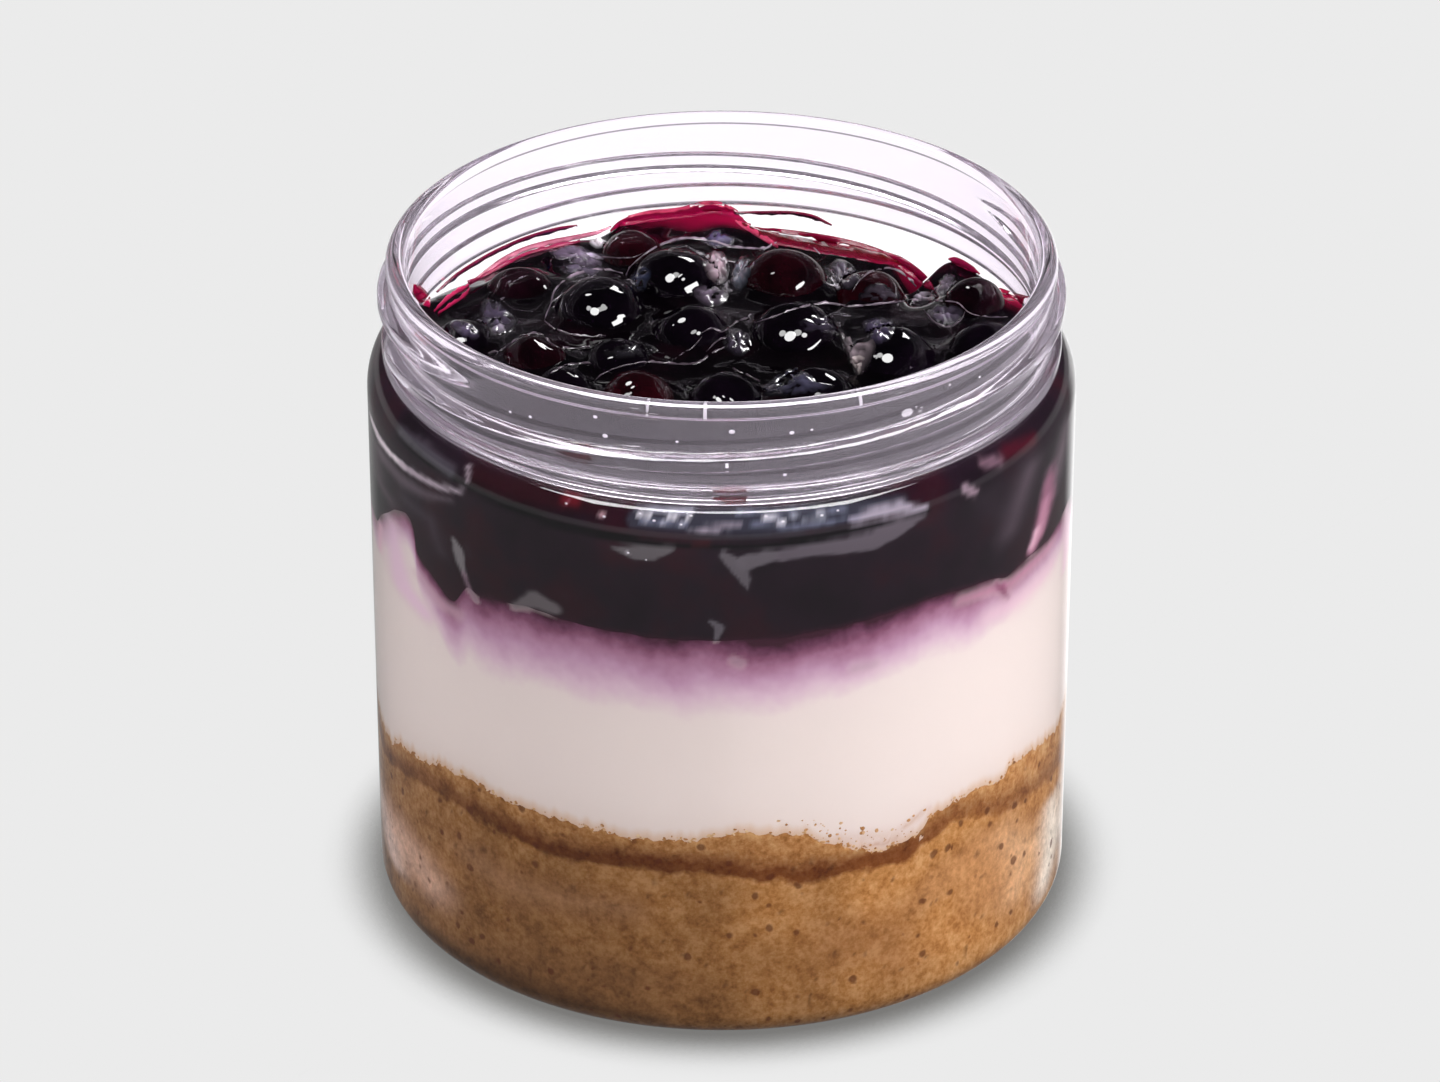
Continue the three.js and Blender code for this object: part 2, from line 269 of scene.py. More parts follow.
# Overhead dark, a pale line at the horizon, and a table that is bright behind and grey in front
def makeWorld():
    world = bpy.data.worlds.new("studio")
    bpy.context.scene.world = world
    world.use_nodes = True
    tree = world.node_tree
    coordinates = addNode(tree, "ShaderNodeTexCoord")
    split = addNode(tree, "ShaderNodeSeparateXYZ", None, {0: coordinates.outputs["Generated"]})
    upper = addNode(
        tree, "ShaderNodeMapRange", {"interpolation_type": "SMOOTHSTEP"},
        {"Value": split.outputs["Z"], "From Min": 0.04, "From Max": 0.16,
         "To Min": studio["horizon"], "To Max": studio["overhead"]},
    )
    table = addNode(
        tree, "ShaderNodeMapRange", {"interpolation_type": "SMOOTHSTEP"},
        {"Value": split.outputs["Y"], "From Min": 0.76, "From Max": 0.872},
    )
    # The left of the studio is darker, so that only the right edge of the plastic is drawn in white
    fromLeft = addNode(
        tree, "ShaderNodeMapRange", {"interpolation_type": "SMOOTHSTEP"},
        {"Value": split.outputs["X"], "From Min": -0.12, "From Max": 0.02, "To Min": studio["left"]},
    )
    share = addNode(
        tree, "ShaderNodeMath", {"operation": "MULTIPLY"}, {0: table.outputs[0], 1: fromLeft.outputs[0]}
    )
    sided = addNode(
        tree, "ShaderNodeMapRange", None,
        {"Value": share.outputs[0], "To Min": studio["front"], "To Max": studio["back"]},
    )
    isUpper = addNode(
        tree, "ShaderNodeMapRange", None, {"Value": split.outputs["Z"], "From Min": -0.16, "From Max": -0.08}
    )
    light = addNode(
        tree, "ShaderNodeMix", {"data_type": "FLOAT"},
        {0: isUpper.outputs[0], 2: sided.outputs[0], 3: upper.outputs[0]},
    )
    tree.links.new(light.outputs[0], tree.nodes["Background"].inputs["Strength"])
    tree.nodes["Background"].inputs["Color"].default_value = (1, 1, 1, 1)


def hangLamps():
    for number, (direction, width, height, strength, _) in enumerate(sparkles):
        lamp = addLamp(f"sparkle{number}", direction, width, height, strength)
        lamp.visible_diffuse = False
        lamp.visible_camera = False
        lamp.light_linking.receiver_collection = sparkleReceivers[number]
    for number, (direction, width, height, strength) in enumerate(gleams):
        lamp = addLamp(f"gleam{number}", direction, width, height, strength, studio["gleamDistance"])
        lamp.visible_diffuse = False
        lamp.visible_camera = False
        lamp.light_linking.receiver_collection = gleamReceivers
    for number, (direction, width, strength) in enumerate(softLights):
        lamp = addLamp(f"soft{number}", direction, width, width, strength)
        lamp.visible_glossy = False
        lamp.visible_transmission = False
        lamp.visible_camera = False


# Matt pale board that glows evenly, with a painted soft contact shadow where the foot stands near it
def makeFloor():
    bm = bmesh.new()
    bmesh.ops.create_grid(bm, x_segments=1, y_segments=1, size=studio["floorSize"])
    bmesh.ops.translate(bm, verts=bm.verts[:], vec=(0, 0, -studio["floorGap"] * mm))
    mesh = bpy.data.meshes.new("floor")
    bm.to_mesh(mesh)
    bm.free()
    floor = bpy.data.objects.new("floor", mesh)
    bpy.context.scene.collection.objects.link(floor)
    material, tree, shader = newMaterial("paleBoard")
    tree.nodes.remove(shader)
    nearness = addNode(
        tree, "ShaderNodeAmbientOcclusion", {"samples": 16}, {"Distance": studio["contactReach"] * mm}
    )
    shade = addNode(
        tree, "ShaderNodeMapRange", {"interpolation_type": "SMOOTHSTEP"},
        {"Value": nearness.outputs["AO"], "From Min": 0.5, "From Max": 0.97},
    )
    paint = addNode(
        tree, "ShaderNodeMix", {"data_type": "RGBA"},
        {0: shade.outputs["Result"], 6: colour(studio["contact"]), 7: colour(studio["floor"])},
    )
    path = addNode(tree, "ShaderNodeLightPath")
    behind = addNode(
        tree, "ShaderNodeMapRange", None,
        {"Value": path.outputs["Is Transmission Ray"], "To Min": 1.0, "To Max": studio["behindPlastic"]},
    )
    glow = addNode(
        tree, "ShaderNodeEmission", None, {"Color": paint.outputs[2], "Strength": behind.outputs[0]}
    )
    tree.links.new(glow.outputs[0], tree.nodes["Material Output"].inputs["Surface"])
    mesh.materials.append(material)
    floor.visible_glossy = False  # the plastic and the berries mirror the studio instead
    floor.visible_diffuse = False


makeCamera()
makeWorld()
hangLamps()
makeFloor()
print("studio ready")


jar = {
    "height": 72,
    "bodyRadius": 36.5,
    "bodyBore": 35.7,
    "underside": [
        (0, 1.4), (12, 1.4), (20, 1.4), (21.6, 1.36), (22.6, 1.1), (25, 0.28), (25.8, 0.06), (26.6, 0),
    ],
    "floor": 1,  # thickness
    "foot": 2.5,  # rounding between the foot ring and the wall
    "innerFoot": 1.7,
    "shoulderStart": 57.5,
    "neckStart": 61.2,
    "neckRootRadius": 34,
    "neckRadius": 33.9,
    "neckBore": 32.3,
    "boreStart": 61.6,
    "innerShoulderStart": 57,
    "beadRadius": 34.9,
    "beadTop": 63.2,
    "beadRounding": 0.4,
    "threadEnd": 70.3,
    "threadRow": 0.17,  # height of the rows of faces that carry the thread
    "lipRadius": 34.3,
    "lipEdge": 0.5,
    "lipUnderside": 70.5,
    "lipRounding": 0.85,
    "steps": 288,
    "mouldLine": 254.5,  # azimuth of the line where the mould halves met
    "mouldLineRise": 0.1,
    "mouldLineHalf": 0.7,  # degrees
    "ior": 1.57,
}
thread = {
    "lead": 7.2,
    "rise": 1.3,
    "crestWidth": 0.9,
    "rootWidth": 2.5,
    "taper": 15,
    # azimuth and height of the top end of each ridge, and its length in degrees
    "starts": [(225, 68.7, 225), (37.5, 68.45, 217.5)],
}


# Inner radius of the jar at a height
def boreAt(height):
    climb = (height - jar["innerShoulderStart"]) / (jar["boreStart"] - jar["innerShoulderStart"])
    if climb <= 0:
        return jar["bodyBore"]
    if climb >= 1:
        return jar["neckBore"]
    return jar["neckBore"] + (jar["bodyBore"] - jar["neckBore"]) * math.sqrt(1 - climb * climb)


# How far the two ridges of the thread stand out of the neck
def threadRise(azimuth, height):
    rise = 0
    for topAzimuth, topHeight, length in thread["starts"]:
        turned = (topAzimuth - azimuth) % 360
        if turned > length:
            continue
        size = smoothStep(0, 1, min(turned, length - turned) / thread["taper"])
        away = abs(height - (topHeight - thread["lead"] * turned / 360))
        crest = thread["crestWidth"] / 2
        root = crest + (thread["rootWidth"] / 2 - crest) * max(size, 0.05)
        rise = max(rise, thread["rise"] * size * (1 - smoothStep(crest * size, root, away)))
    return rise


# PET, blown in a mould: clear and hard, with sharp reflections and a faint lilac cast where it is thick
def makePlastic(name, tint, clearness):
    material, tree, shader = newMaterial(name)
    shader.inputs["Base Color"].default_value = colour(tint)
    shader.inputs["Roughness"].default_value = 0.02
    shader.inputs["IOR"].default_value = jar["ior"]
    shader.inputs["Transmission Weight"].default_value = clearness
    return material


def makeJar():
    edge, bore, shoulder = jar["bodyRadius"], jar["bodyBore"], jar["shoulderStart"]
    neck, neckBore, top = jar["neckRadius"], jar["neckBore"], jar["beadTop"]
    foot, innerFoot, floor = jar["foot"], jar["innerFoot"], jar["floor"]
    bead, beadEdge = jar["beadRounding"], jar["beadRadius"] - jar["beadRounding"]
    lip, lipRound, lipEdge = jar["lipRadius"], jar["lipRounding"], jar["lipEdge"]
    # Outside, from the middle of the underside up to the lip
    points = list(jar["underside"])
    points += arcPoints(edge - foot, foot, foot, foot, -90, 0, 12)
    points += linePoints((edge, foot), (edge, shoulder), 2.5)
    points += arcPoints(
        jar["neckRootRadius"], shoulder, edge - jar["neckRootRadius"], jar["neckStart"] - shoulder, 0, 84, 18
    )
    points += arcPoints(beadEdge, jar["neckStart"] + 0.25 + bead, bead, bead, -90, 0, 5)
    points += arcPoints(beadEdge, top - bead, bead, bead, 0, 90, 5)
    points += [(neck + 0.25, top + 0.06), (neck + 0.08, top + 0.25)]
    points += linePoints((neck, top + 0.6), (neck, jar["threadEnd"]), jar["threadRow"])
    points += [(neck + 0.06, jar["threadEnd"] + 0.15)]
    points += arcPoints(lip - lipEdge, jar["lipUnderside"] + lipEdge, lipEdge, lipEdge, -60, 0, 4)
    points += arcPoints(lip - lipRound, jar["height"] - lipRound, lipRound, lipRound, 0, 90, 7)
    # Inside, from the lip down to the middle of the floor
    points += arcPoints(neckBore + lipRound, jar["height"] - lipRound, lipRound, lipRound, 90, 180, 7)
    points += linePoints((neckBore, jar["height"] - lipRound), (neckBore, jar["boreStart"]), 1)
    points += arcPoints(
        neckBore, jar["innerShoulderStart"], bore - neckBore,
        jar["boreStart"] - jar["innerShoulderStart"], 90, 0, 20,
    )
    points += linePoints((bore, jar["innerShoulderStart"]), (bore, floor + innerFoot), 2.5)
    points += arcPoints(bore - innerFoot, floor + innerFoot, innerFoot, innerFoot, 0, -90, 8)
    points += [(radius, height + floor) for radius, height in reversed(jar["underside"])]
    bm = spinProfile(points, jar["steps"])
    for vertex in bm.verts:
        azimuth, radius = polar(vertex.co)
        height = vertex.co.z / mm
        if height > top and abs(radius - neck) < 0.01:
            proud = threadRise(azimuth, height)
            for side in (0, 180):
                if turnBetween(azimuth, jar["mouldLine"] + side) < jar["mouldLineHalf"]:
                    proud += jar["mouldLineRise"]
            placeAt(vertex, azimuth, radius + proud, height)
    for face in bm.faces:
        face.material_index = 1 if face.calc_center_median().z > jar["neckStart"] * mm else 0
    # The thin blown wall is clear; the thick moulded neck has a faint lilac haze
    wallPlastic = makePlastic("clearPetBlown", "#fdfbfe", 1.0)
    neckPlastic = makePlastic("clearPetMoulded", "#f8effb", 0.93)
    piece = finishPiece("clear_jar", bm, [wallPlastic, neckPlastic], ["jar"])
    piece.visible_shadow = False  # lamps light the layers through the clear wall
    gleamReceivers.objects.link(piece)
    return piece


jarPiece = makeJar()


def treeOf(pieces):
    bm = bmesh.new()
    for piece in pieces:
        bm.from_mesh(piece.data)
    tree = BVHTree.FromBMesh(bm)
    bm.free()
    return tree


cameraObject = bpy.context.scene.camera
jarTree = treeOf([jarPiece])
pixelsPerMm = 9.56  # of the photo, at the front of the cup
throughWall = {
    "furthestBack": 20,  # mm, past which a point isn't on the front wall
    "step": 0.05,  # mm
    "steps": 60,
    "gap": 0.1,  # mm from the bore at which the ray counts as through
}


# Where things seen in the photo lie: the ray from the camera through a point of its frame
def rayThrough(across, down):
    focal = view["lens"] / view["sensor"] * photo["width"]
    turn = cameraObject.rotation_euler.to_matrix()
    aside, rise = across - photo["width"] / 2, photo["height"] / 2 - down
    way = turn @ Vector((aside / focal, rise / focal, -1)).normalized()
    return cameraObject.location.copy(), way


# Azimuth and height just inside the front wall, after the ray bends in the plastic
def behindWall(across, down):
    start, way = rayThrough(across, down)
    place, normal, _, _ = jarTree.ray_cast(start, way)
    if place is None or place.y > throughWall["furthestBack"] * mm:
        return None
    ratio, tilt = 1 / jar["ior"], -normal.dot(way)
    bent = way * ratio + normal * (ratio * tilt - math.sqrt(1 - ratio * ratio * (1 - tilt * tilt)))
    for _ in range(throughWall["steps"]):
        _, radius = polar(place)
        if radius <= boreAt(place.z / mm) + throughWall["gap"]:
            break
        place = place + bent * throughWall["step"] * mm
    azimuth, _ = polar(place)
    return azimuth, place.z / mm


# Smooth curve through a few points
def smoothPath(points, each=6, closed=False):
    found = []
    count = len(points)
    for index in range(count if closed else count - 1):
        if closed:
            around = [points[(index + step) % count] for step in (-1, 0, 1, 2)]
        else:
            around = [points[min(max(index + step, 0), count - 1)] for step in (-1, 0, 1, 2)]
        for part in range(each):
            t = part / each
            found.append([
                0.5 * (2 * b + (c - a) * t + (2 * a - 5 * b + 4 * c - d) * t * t
                       + (3 * b - a - 3 * c + d) * t ** 3)
                for a, b, c, d in zip(*around)
            ])
    if not closed:
        found.append(list(points[-1]))
    return found


# Soft marks on what the front wall shows, stains and smears as well as painted reflections, highlights and
# shade: tint, cover, softness in pixels, and a path of across, down and half width in the photo's pixels
def readStrokes(rows):
    strokes = []
    for tint, cover, soft, path in rows:
        alongs, heights, halves = [], [], []
        for across, down, half in path:
            place = behindWall(across, down)
            if place:
                azimuth, height = place
                alongs.append(math.cos(math.radians(azimuth)) * jar["bodyBore"])
                heights.append(height)
                halves.append(half / pixelsPerMm)
        reach = max(halves) + soft / pixelsPerMm
        strokes.append({
            "tint": colour(tint),
            "cover": cover,
            "soft": soft / pixelsPerMm,
            "points": list(zip(alongs, heights, halves)),
            "left": min(alongs) - reach,
            "right": max(alongs) + reach,
            "low": min(heights) - reach,
            "high": max(heights) + reach,
        })
    return strokes


# Colour of the strokes at a place on the wall, with their cover as alpha
def paintAt(strokes, azimuth, height, blank):
    along = math.cos(math.radians(azimuth)) * jar["bodyBore"]  # as seen from the front
    mixed, covered = blank[:3], 0
    shown = smoothStep(-0.3, 0, -math.sin(math.radians(azimuth)))  # fades out round the sides
    if shown == 0:
        return mixed + [0]
    rough = 0.1 * roughAt(azimuth, jar["bodyBore"], height, 0.7, 8)
    for stroke in strokes:
        if not (stroke["left"] < along < stroke["right"] and stroke["low"] < height < stroke["high"]):
            continue
        points = stroke["points"]
        gaps = []
        for (oneAlong, oneUp, oneHalf), (otherAlong, otherUp, otherHalf) in zip(points, points[1:] or points):
            reachAlong, reachUp = otherAlong - oneAlong, otherUp - oneUp
            length = max(reachAlong ** 2 + reachUp ** 2, 0.0001)
            share = ((along - oneAlong) * reachAlong + (height - oneUp) * reachUp) / length
            share = min(1, max(0, share))
            gap = math.hypot(along - oneAlong - share * reachAlong, height - oneUp - share * reachUp)
            gaps.append(gap - oneHalf - share * (otherHalf - oneHalf))
        half = stroke["soft"] / 2
        solid = shown * stroke["cover"] * (1 - smoothStep(-half, half, min(gaps) + rough))
        mixed = [old + (new - old) * solid for old, new in zip(mixed, stroke["tint"])]
        covered = 1 - (1 - covered) * (1 - solid)
    return mixed + [covered]


layers = {
    "wall": 35.78,  # just into the plastic, so that no air shows
    "behind": 35.74,  # where one layer runs behind the next
    "intoPlastic": 0.05,
    "crumbHeight": 24,
    "creamHeight": 46.8,
    "sauceHeight": 58.2,
    "sauceRim": 1.3,
    "sauceRimReach": 2.4,
    "waveReach": 7,
    "rowHeight": 0.4,
}
# Edges of the layers where they meet the wall. Seen through the front: across and down in the photo's
# pixels. Hidden round the back: azimuth and height in mm
edges = {
    "crumb": {
        "seen": [
            (386, 733), (400, 745), (420, 759), (450, 771), (480, 784), (510, 803), (535, 812),
            (560, 820), (600, 832), (640, 838), (680, 840), (710, 838), (738, 831), (766, 835),
            (803, 836), (830, 842), (853, 848), (880, 849), (900, 845), (908, 838), (925, 826),
            (948, 805), (971, 793), (996, 782), (1020, 759), (1040, 744), (1058, 724),
        ],
        "hidden": [(5, 24.6), (30, 23.8), (60, 23.2), (90, 24.2), (120, 24.6), (150, 23.6), (178, 24.2)],
    },
    "darkLine": {  # the darker line in the crumb
        "seen": [
            (386, 748), (420, 773), (450, 792), (480, 811), (520, 832), (560, 848), (600, 856),
            (640, 861), (680, 864), (720, 867), (760, 871), (800, 873), (830, 870), (855, 862),
            (880, 855), (905, 850), (925, 836), (945, 819), (960, 811), (985, 806), (1003, 802),
            (1020, 795), (1040, 779), (1060, 752),
        ],
        "hidden": [(5, 21.4), (30, 20.9), (60, 20.6), (90, 21.2), (120, 21.2), (150, 20.9), (178, 21.3)],
    },
    "cream": {
        "seen": [
            (377, 521), (381, 515), (387, 511), (394, 510), (403, 512), (410, 520), (414, 533),
            (416, 548), (421, 562), (430, 574), (440, 587), (448, 598), (455, 600), (462, 592),
            (468, 587), (476, 594), (490, 600), (510, 603), (535, 609), (560, 618), (580, 624),
            (620, 633), (660, 639), (720, 641), (760, 639), (800, 634), (840, 627), (880, 616),
            (920, 602), (950, 592), (970, 587), (985, 581), (998, 578), (1006, 577), (1013, 571),
            (1022, 563), (1034, 552), (1047, 541), (1056, 527), (1064, 510), (1070, 497),
        ],
        "hidden": [
            (4, 43.8), (20, 45.2), (45, 46.8), (70, 46), (100, 47), (125, 47.6), (150, 46.6),
            (170, 48.0),
        ],
    },
    "jelly": {  # seen through the mouth, at the back
        "seen": [
            (428, 300), (450, 290), (475, 280), (500, 265), (525, 252), (550, 246), (575, 241),
            (598, 238), (612, 231), (625, 222), (640, 219), (665, 216), (690, 213), (706, 210),
            (722, 210), (736, 215), (750, 226), (770, 232), (800, 237), (830, 243), (860, 248),
            (885, 254), (900, 264), (915, 275), (931, 288), (938, 282), (944, 270), (950, 262),
            (962, 266), (975, 273), (990, 283), (1005, 293),
        ],
        "hidden": [
            (172, 60.6), (185, 61.2), (200, 61.4), (230, 61.5), (270, 61.5), (310, 61.5), (340, 61.4),
            (358, 61.2),
        ],
    },
}


# Azimuth and height of a point on the inside of the back of the jar
def onBackOf(across, down):
    place, _, _, _ = jarTree.ray_cast(*rayThrough(across, down))
    return polar(place)[0], place.z / mm


# Heights of an edge at every half degree, on a smooth curve through its points
def readEdge(edge, caster):
    points = sorted([caster(*place) for place in edge["seen"]] + edge["hidden"])
    around = [(azimuth - 360, height) for azimuth, height in points[-2:]] + points
    around += [(azimuth + 360, height) for azimuth, height in points[:2]]
    heights = []
    index = 1
    for step in range(720):
        azimuth = step / 2
        while around[index + 1][0] <= azimuth:
            index += 1
        before, one, other, after = around[index - 1:index + 3]
        span = other[0] - one[0]
        leaving = (other[1] - before[1]) / (other[0] - before[0]) * span
        arriving = (after[1] - one[1]) / (after[0] - one[0]) * span
        t = (azimuth - one[0]) / span
        heights.append(
            (2 * t ** 3 - 3 * t * t + 1) * one[1] + (t ** 3 - 2 * t * t + t) * leaving
            + (3 * t * t - 2 * t ** 3) * other[1] + (t ** 3 - t * t) * arriving
        )
    return heights


edgeHeights = {
    name: readEdge(edge, onBackOf if name == "jelly" else behindWall) for name, edge in edges.items()
}
for name, heights in edgeHeights.items():
    print("read the edge of the", name, "from", round(min(heights), 1), "to", round(max(heights), 1), "mm")


def edgeAt(name, azimuth):
    return edgeHeights[name][round(azimuth * 2) % 720]


# Height of a layer's top: its mean level, with the wave of its edge dying away from the wall
def layerTop(name, level, azimuth, radius):
    fromWall = max(0, jar["bodyBore"] - radius)
    return level + (edgeAt(name, azimuth) - level) * math.exp(-fromWall / layers["waveReach"])


def crumbTop(azimuth, radius):
    rough = 0.7 * roughAt(azimuth, radius, 0, 0.75, 1) + 0.4 * roughAt(azimuth, radius, 0, 2.4, 2)
    return layerTop("crumb", layers["crumbHeight"], azimuth, radius) + rough


def creamTop(azimuth, radius):
    rough = 0.2 * roughAt(azimuth, radius, 0, 4.0, 3) + 0.15 * roughAt(azimuth, radius, 0, 1.8, 4)
    return layerTop("cream", layers["creamHeight"], azimuth, radius) + rough


crumb = {
    "underside": [(0, 2.35), (12, 2.35), (20, 2.35), (22.6, 2.05), (25, 1.23), (26.6, 0.95)],
    "foot": 4.4,  # the top of the rounding at the bottom
    "pits": 260,
    "pitDepth": 0.06,
    "pitCell": 3,  # degrees
    "pitCells": 120,
    "mmPerDegree": 0.624,
    "soaked": 0.98,
    "darkToneLessRight": 0.35,
    "darkToneLessLeft": 0.3,
    "golden": 0.3,  # how golden the crumb is, from dark brown 0 to toasted gold 1
    "goldenAndLitRise": 0.25,  # more of it towards the top, partly painted light from above
}
# Where it is more or less golden, partly real and partly painted light at the right and painted shade at the
# left: azimuth, spread, lift
goldenAndLitWaves = [(325, 38, 0.88), (245, 30, -0.18)]
# Colour laid on the crumb behind the front wall: painted reflections of the plastic at the left, painted
# highlights and light at the right, painted shadow along the foot at the bottom left, and drifts of tone
crumbPaintedLightAndTone = [
    # pale painted reflections of the plastic at the left edge
    ("#ecc6b0", 0.85, 50, [(388, 785, 8), (396, 815, 22), (412, 852, 30), (430, 880, 26)]),
    ("#ffe6da", 0.95, 30, [(380, 775, 7), (386, 815, 12), (394, 855, 12)]),
    ("#b0845f", 0.75, 50, [(470, 858, 18), (510, 884, 20), (570, 900, 16), (630, 906, 12)]),
    # painted shadow along the foot at the bottom left, in two strokes
    ("#4a2f17", 0.92, 34, [(392, 888, 8), (420, 925, 12), (450, 950, 16), (490, 972, 18), (540, 994, 15),
                           (600, 1010, 12), (660, 1021, 8)]),
    ("#5c3a1c", 0.5, 60, [(520, 960, 24), (600, 975, 24), (660, 985, 20)]),
    # painted highlight and brighter painted light at the right edge
    ("#f3c79a", 0.9, 50, [(1000, 830, 14), (1024, 850, 26), (1016, 890, 18)]),
    ("#fff4e6", 1.0, 26, [(1052, 790, 10), (1053, 835, 15), (1043, 888, 12)]),
    ("#e0a76f", 0.6, 40, [(930, 880, 20), (975, 850, 26), (985, 890, 22)]),
    ("#a87040", 0.5, 60, [(840, 940, 30), (880, 920, 30), (900, 960, 20)]),
]


# Colours from dark to light grain: dark brown, then toasted, first in the body and then in the loose band on
# top
crumbPalettes = [
    ([(0.36, "#68421f"), (0.48, "#855a31"), (0.62, "#a07243")],
     [(0.36, "#a9713a"), (0.48, "#ca9152"), (0.62, "#e2b078")]),
    ([(0.36, "#68411d"), (0.48, "#8b5c30"), (0.62, "#ad7a45")],
     [(0.36, "#a06a36"), (0.48, "#c58d54"), (0.62, "#ddb07a")]),
]


# Pressed biscuit crumb with butter: fine sandy grain of 0.2 to 0.8 mm, golden to brown, matt, with dark
# flecks, a darker line under the loose top, painted light and shade laid on by strokes, and painted shade in
# the pits
def makeCrumbMaterial():
    material, tree, shader = newMaterial("pressedBiscuitCrumb")
    place = addNode(tree, "ShaderNodeTexCoord").outputs["Object"]
    grain = addNode(
        tree, "ShaderNodeTexNoise", None,
        {"Vector": place, "Scale": scaleOf(0.6667), "Detail": 4, "Roughness": 0.7},
    )
    drift = addNode(
        tree, "ShaderNodeTexNoise", None, {"Vector": place, "Scale": scaleOf(2.0833), "Detail": 3}
    )
    blend = addNode(
        tree, "ShaderNodeMix", {"data_type": "FLOAT"},
        {0: 0.42, 2: grain.outputs["Fac"], 3: drift.outputs["Fac"]},
    )
    golden = addNode(tree, "ShaderNodeAttribute", {"attribute_name": "golden"})
    palettes = []
    for shades in crumbPalettes:
        soaked, toasted = [
            addNode(tree, "ShaderNodeValToRGB", {"stops": stops}, {0: blend.outputs[0]}) for stops in shades
        ]
        palettes.append(addNode(
            tree, "ShaderNodeMix", {"data_type": "RGBA"},
            {0: golden.outputs["Fac"], 6: soaked.outputs["Color"], 7: toasted.outputs["Color"]},
        ))
    body, band = palettes
    above = addNode(tree, "ShaderNodeAttribute", {"attribute_name": "aboveTide"})
    wander = addNode(
        tree, "ShaderNodeTexNoise", None, {"Vector": place, "Scale": scaleOf(2.381), "Detail": 5}
    )
    level = addNode(
        tree, "ShaderNodeMath", {"operation": "MULTIPLY_ADD"},
        {0: wander.outputs["Fac"], 1: 2.8, 2: above.outputs["Fac"]},
    )
    inBody = addNode(
        tree, "ShaderNodeMapRange", {"interpolation_type": "SMOOTHSTEP"},
        {"Value": level.outputs[0], "From Min": 0.5, "From Max": 1.3, "To Min": 1.0, "To Max": 0.0},
    )
    whole = addNode(
        tree, "ShaderNodeMix", {"data_type": "RGBA"},
        {0: inBody.outputs[0], 6: band.outputs[2], 7: body.outputs[2]},
    )
    # The darker line, from its sharp lower edge to its soft upper one
    across = addNode(
        tree, "ShaderNodeMapRange", None, {"Value": level.outputs[0], "From Min": -1.6, "From Max": 4.4}
    )
    darkLineBand = addNode(
        tree, "ShaderNodeValToRGB",
        {"stops": [(0.27, "#000000"), (0.38, "#ffffff"), (0.54, "#ffffff"), (0.84, "#000000")]},
        {0: across.outputs[0]},
    )
    darkLineShare = addNode(tree, "ShaderNodeAttribute", {"attribute_name": "soaked"})
    lineShade = addNode(
        tree, "ShaderNodeMath", {"operation": "MULTIPLY"},
        {0: darkLineBand.outputs["Color"], 1: darkLineShare.outputs["Fac"]},
    )
    lined = addNode(
        tree, "ShaderNodeMix", {"data_type": "RGBA", "blend_type": "MULTIPLY"},
        {0: lineShade.outputs[0], 6: whole.outputs[2], 7: colour("#a27f60")},
    )
    # Strokes laid on behind the wall, painted light and shade as well as drifts of tone, still under the
    # grain
    paint = addNode(tree, "ShaderNodeAttribute", {"attribute_name": "paint"})
    shade = addNode(
        tree, "ShaderNodeMapRange", None,
        {"Value": blend.outputs[0], "From Min": 0.3, "From Max": 0.7, "To Min": 0.6, "To Max": 1.35},
    )
    grained = addNode(
        tree, "ShaderNodeVectorMath", {"operation": "SCALE"},
        {0: paint.outputs["Color"], "Scale": shade.outputs[0]},
    )
    paintedStrokes = addNode(
        tree, "ShaderNodeMix", {"data_type": "RGBA"},
        {0: paint.outputs["Alpha"], 6: lined.outputs[2], 7: grained.outputs[0]},
    )
    # Dark flecks, one in a few cells
    ragged = addNode(
        tree, "ShaderNodeVectorMath", {"operation": "MULTIPLY_ADD"},
        {0: wander.outputs["Color"], 1: (1.2 * mm, 1.2 * mm, 1.2 * mm), 2: place},
    )
    cells = addNode(
        tree, "ShaderNodeTexVoronoi", {"feature": "F1"},
        {"Vector": ragged.outputs[0], "Scale": scaleOf(1.3889)},
    )
    chance = addNode(tree, "ShaderNodeSeparateColor", None, {0: cells.outputs["Color"]})
    size = addNode(
        tree, "ShaderNodeMapRange", None,
        {"Value": chance.outputs[0], "From Min": 0.66, "From Max": 1.0, "To Min": 0.0, "To Max": 0.46},
    )
    fleck = addNode(
        tree, "ShaderNodeMath", {"operation": "SUBTRACT", "use_clamp": True},
        {0: size.outputs[0], 1: cells.outputs["Distance"]},
    )
    dark = addNode(
        tree, "ShaderNodeMapRange", None, {"Value": fleck.outputs[0], "From Max": 0.16, "To Max": 0.72}
    )
    flecked = addNode(
        tree, "ShaderNodeMix", {"data_type": "RGBA"},
        {0: dark.outputs[0], 6: paintedStrokes.outputs[2], 7: colour("#5c2c14")},
    )
    # Painted shade in the pits, darkest at their middle
    pit = addNode(tree, "ShaderNodeAttribute", {"attribute_name": "pit"})
    pitDepthAndShade = addNode(tree, "ShaderNodeMath", {"operation": "MULTIPLY"}, {0: pit.outputs["Fac"], 1: 0.55})
    pitShaded = addNode(
        tree, "ShaderNodeMix", {"data_type": "RGBA"},
        {0: pitDepthAndShade.outputs[0], 6: flecked.outputs[2], 7: colour("#4a2a14")},
    )
    tree.links.new(pitShaded.outputs[2], shader.inputs["Base Color"])
    shader.inputs["Roughness"].default_value = 0.9
    shader.inputs["Specular IOR Level"].default_value = 0.1
    bump = addNode(
        tree, "ShaderNodeBump", None, {"Height": blend.outputs[0], "Strength": 0.3, "Distance": 0.12 * mm}
    )
    tree.links.new(bump.outputs[0], shader.inputs["Normal"])
    return material


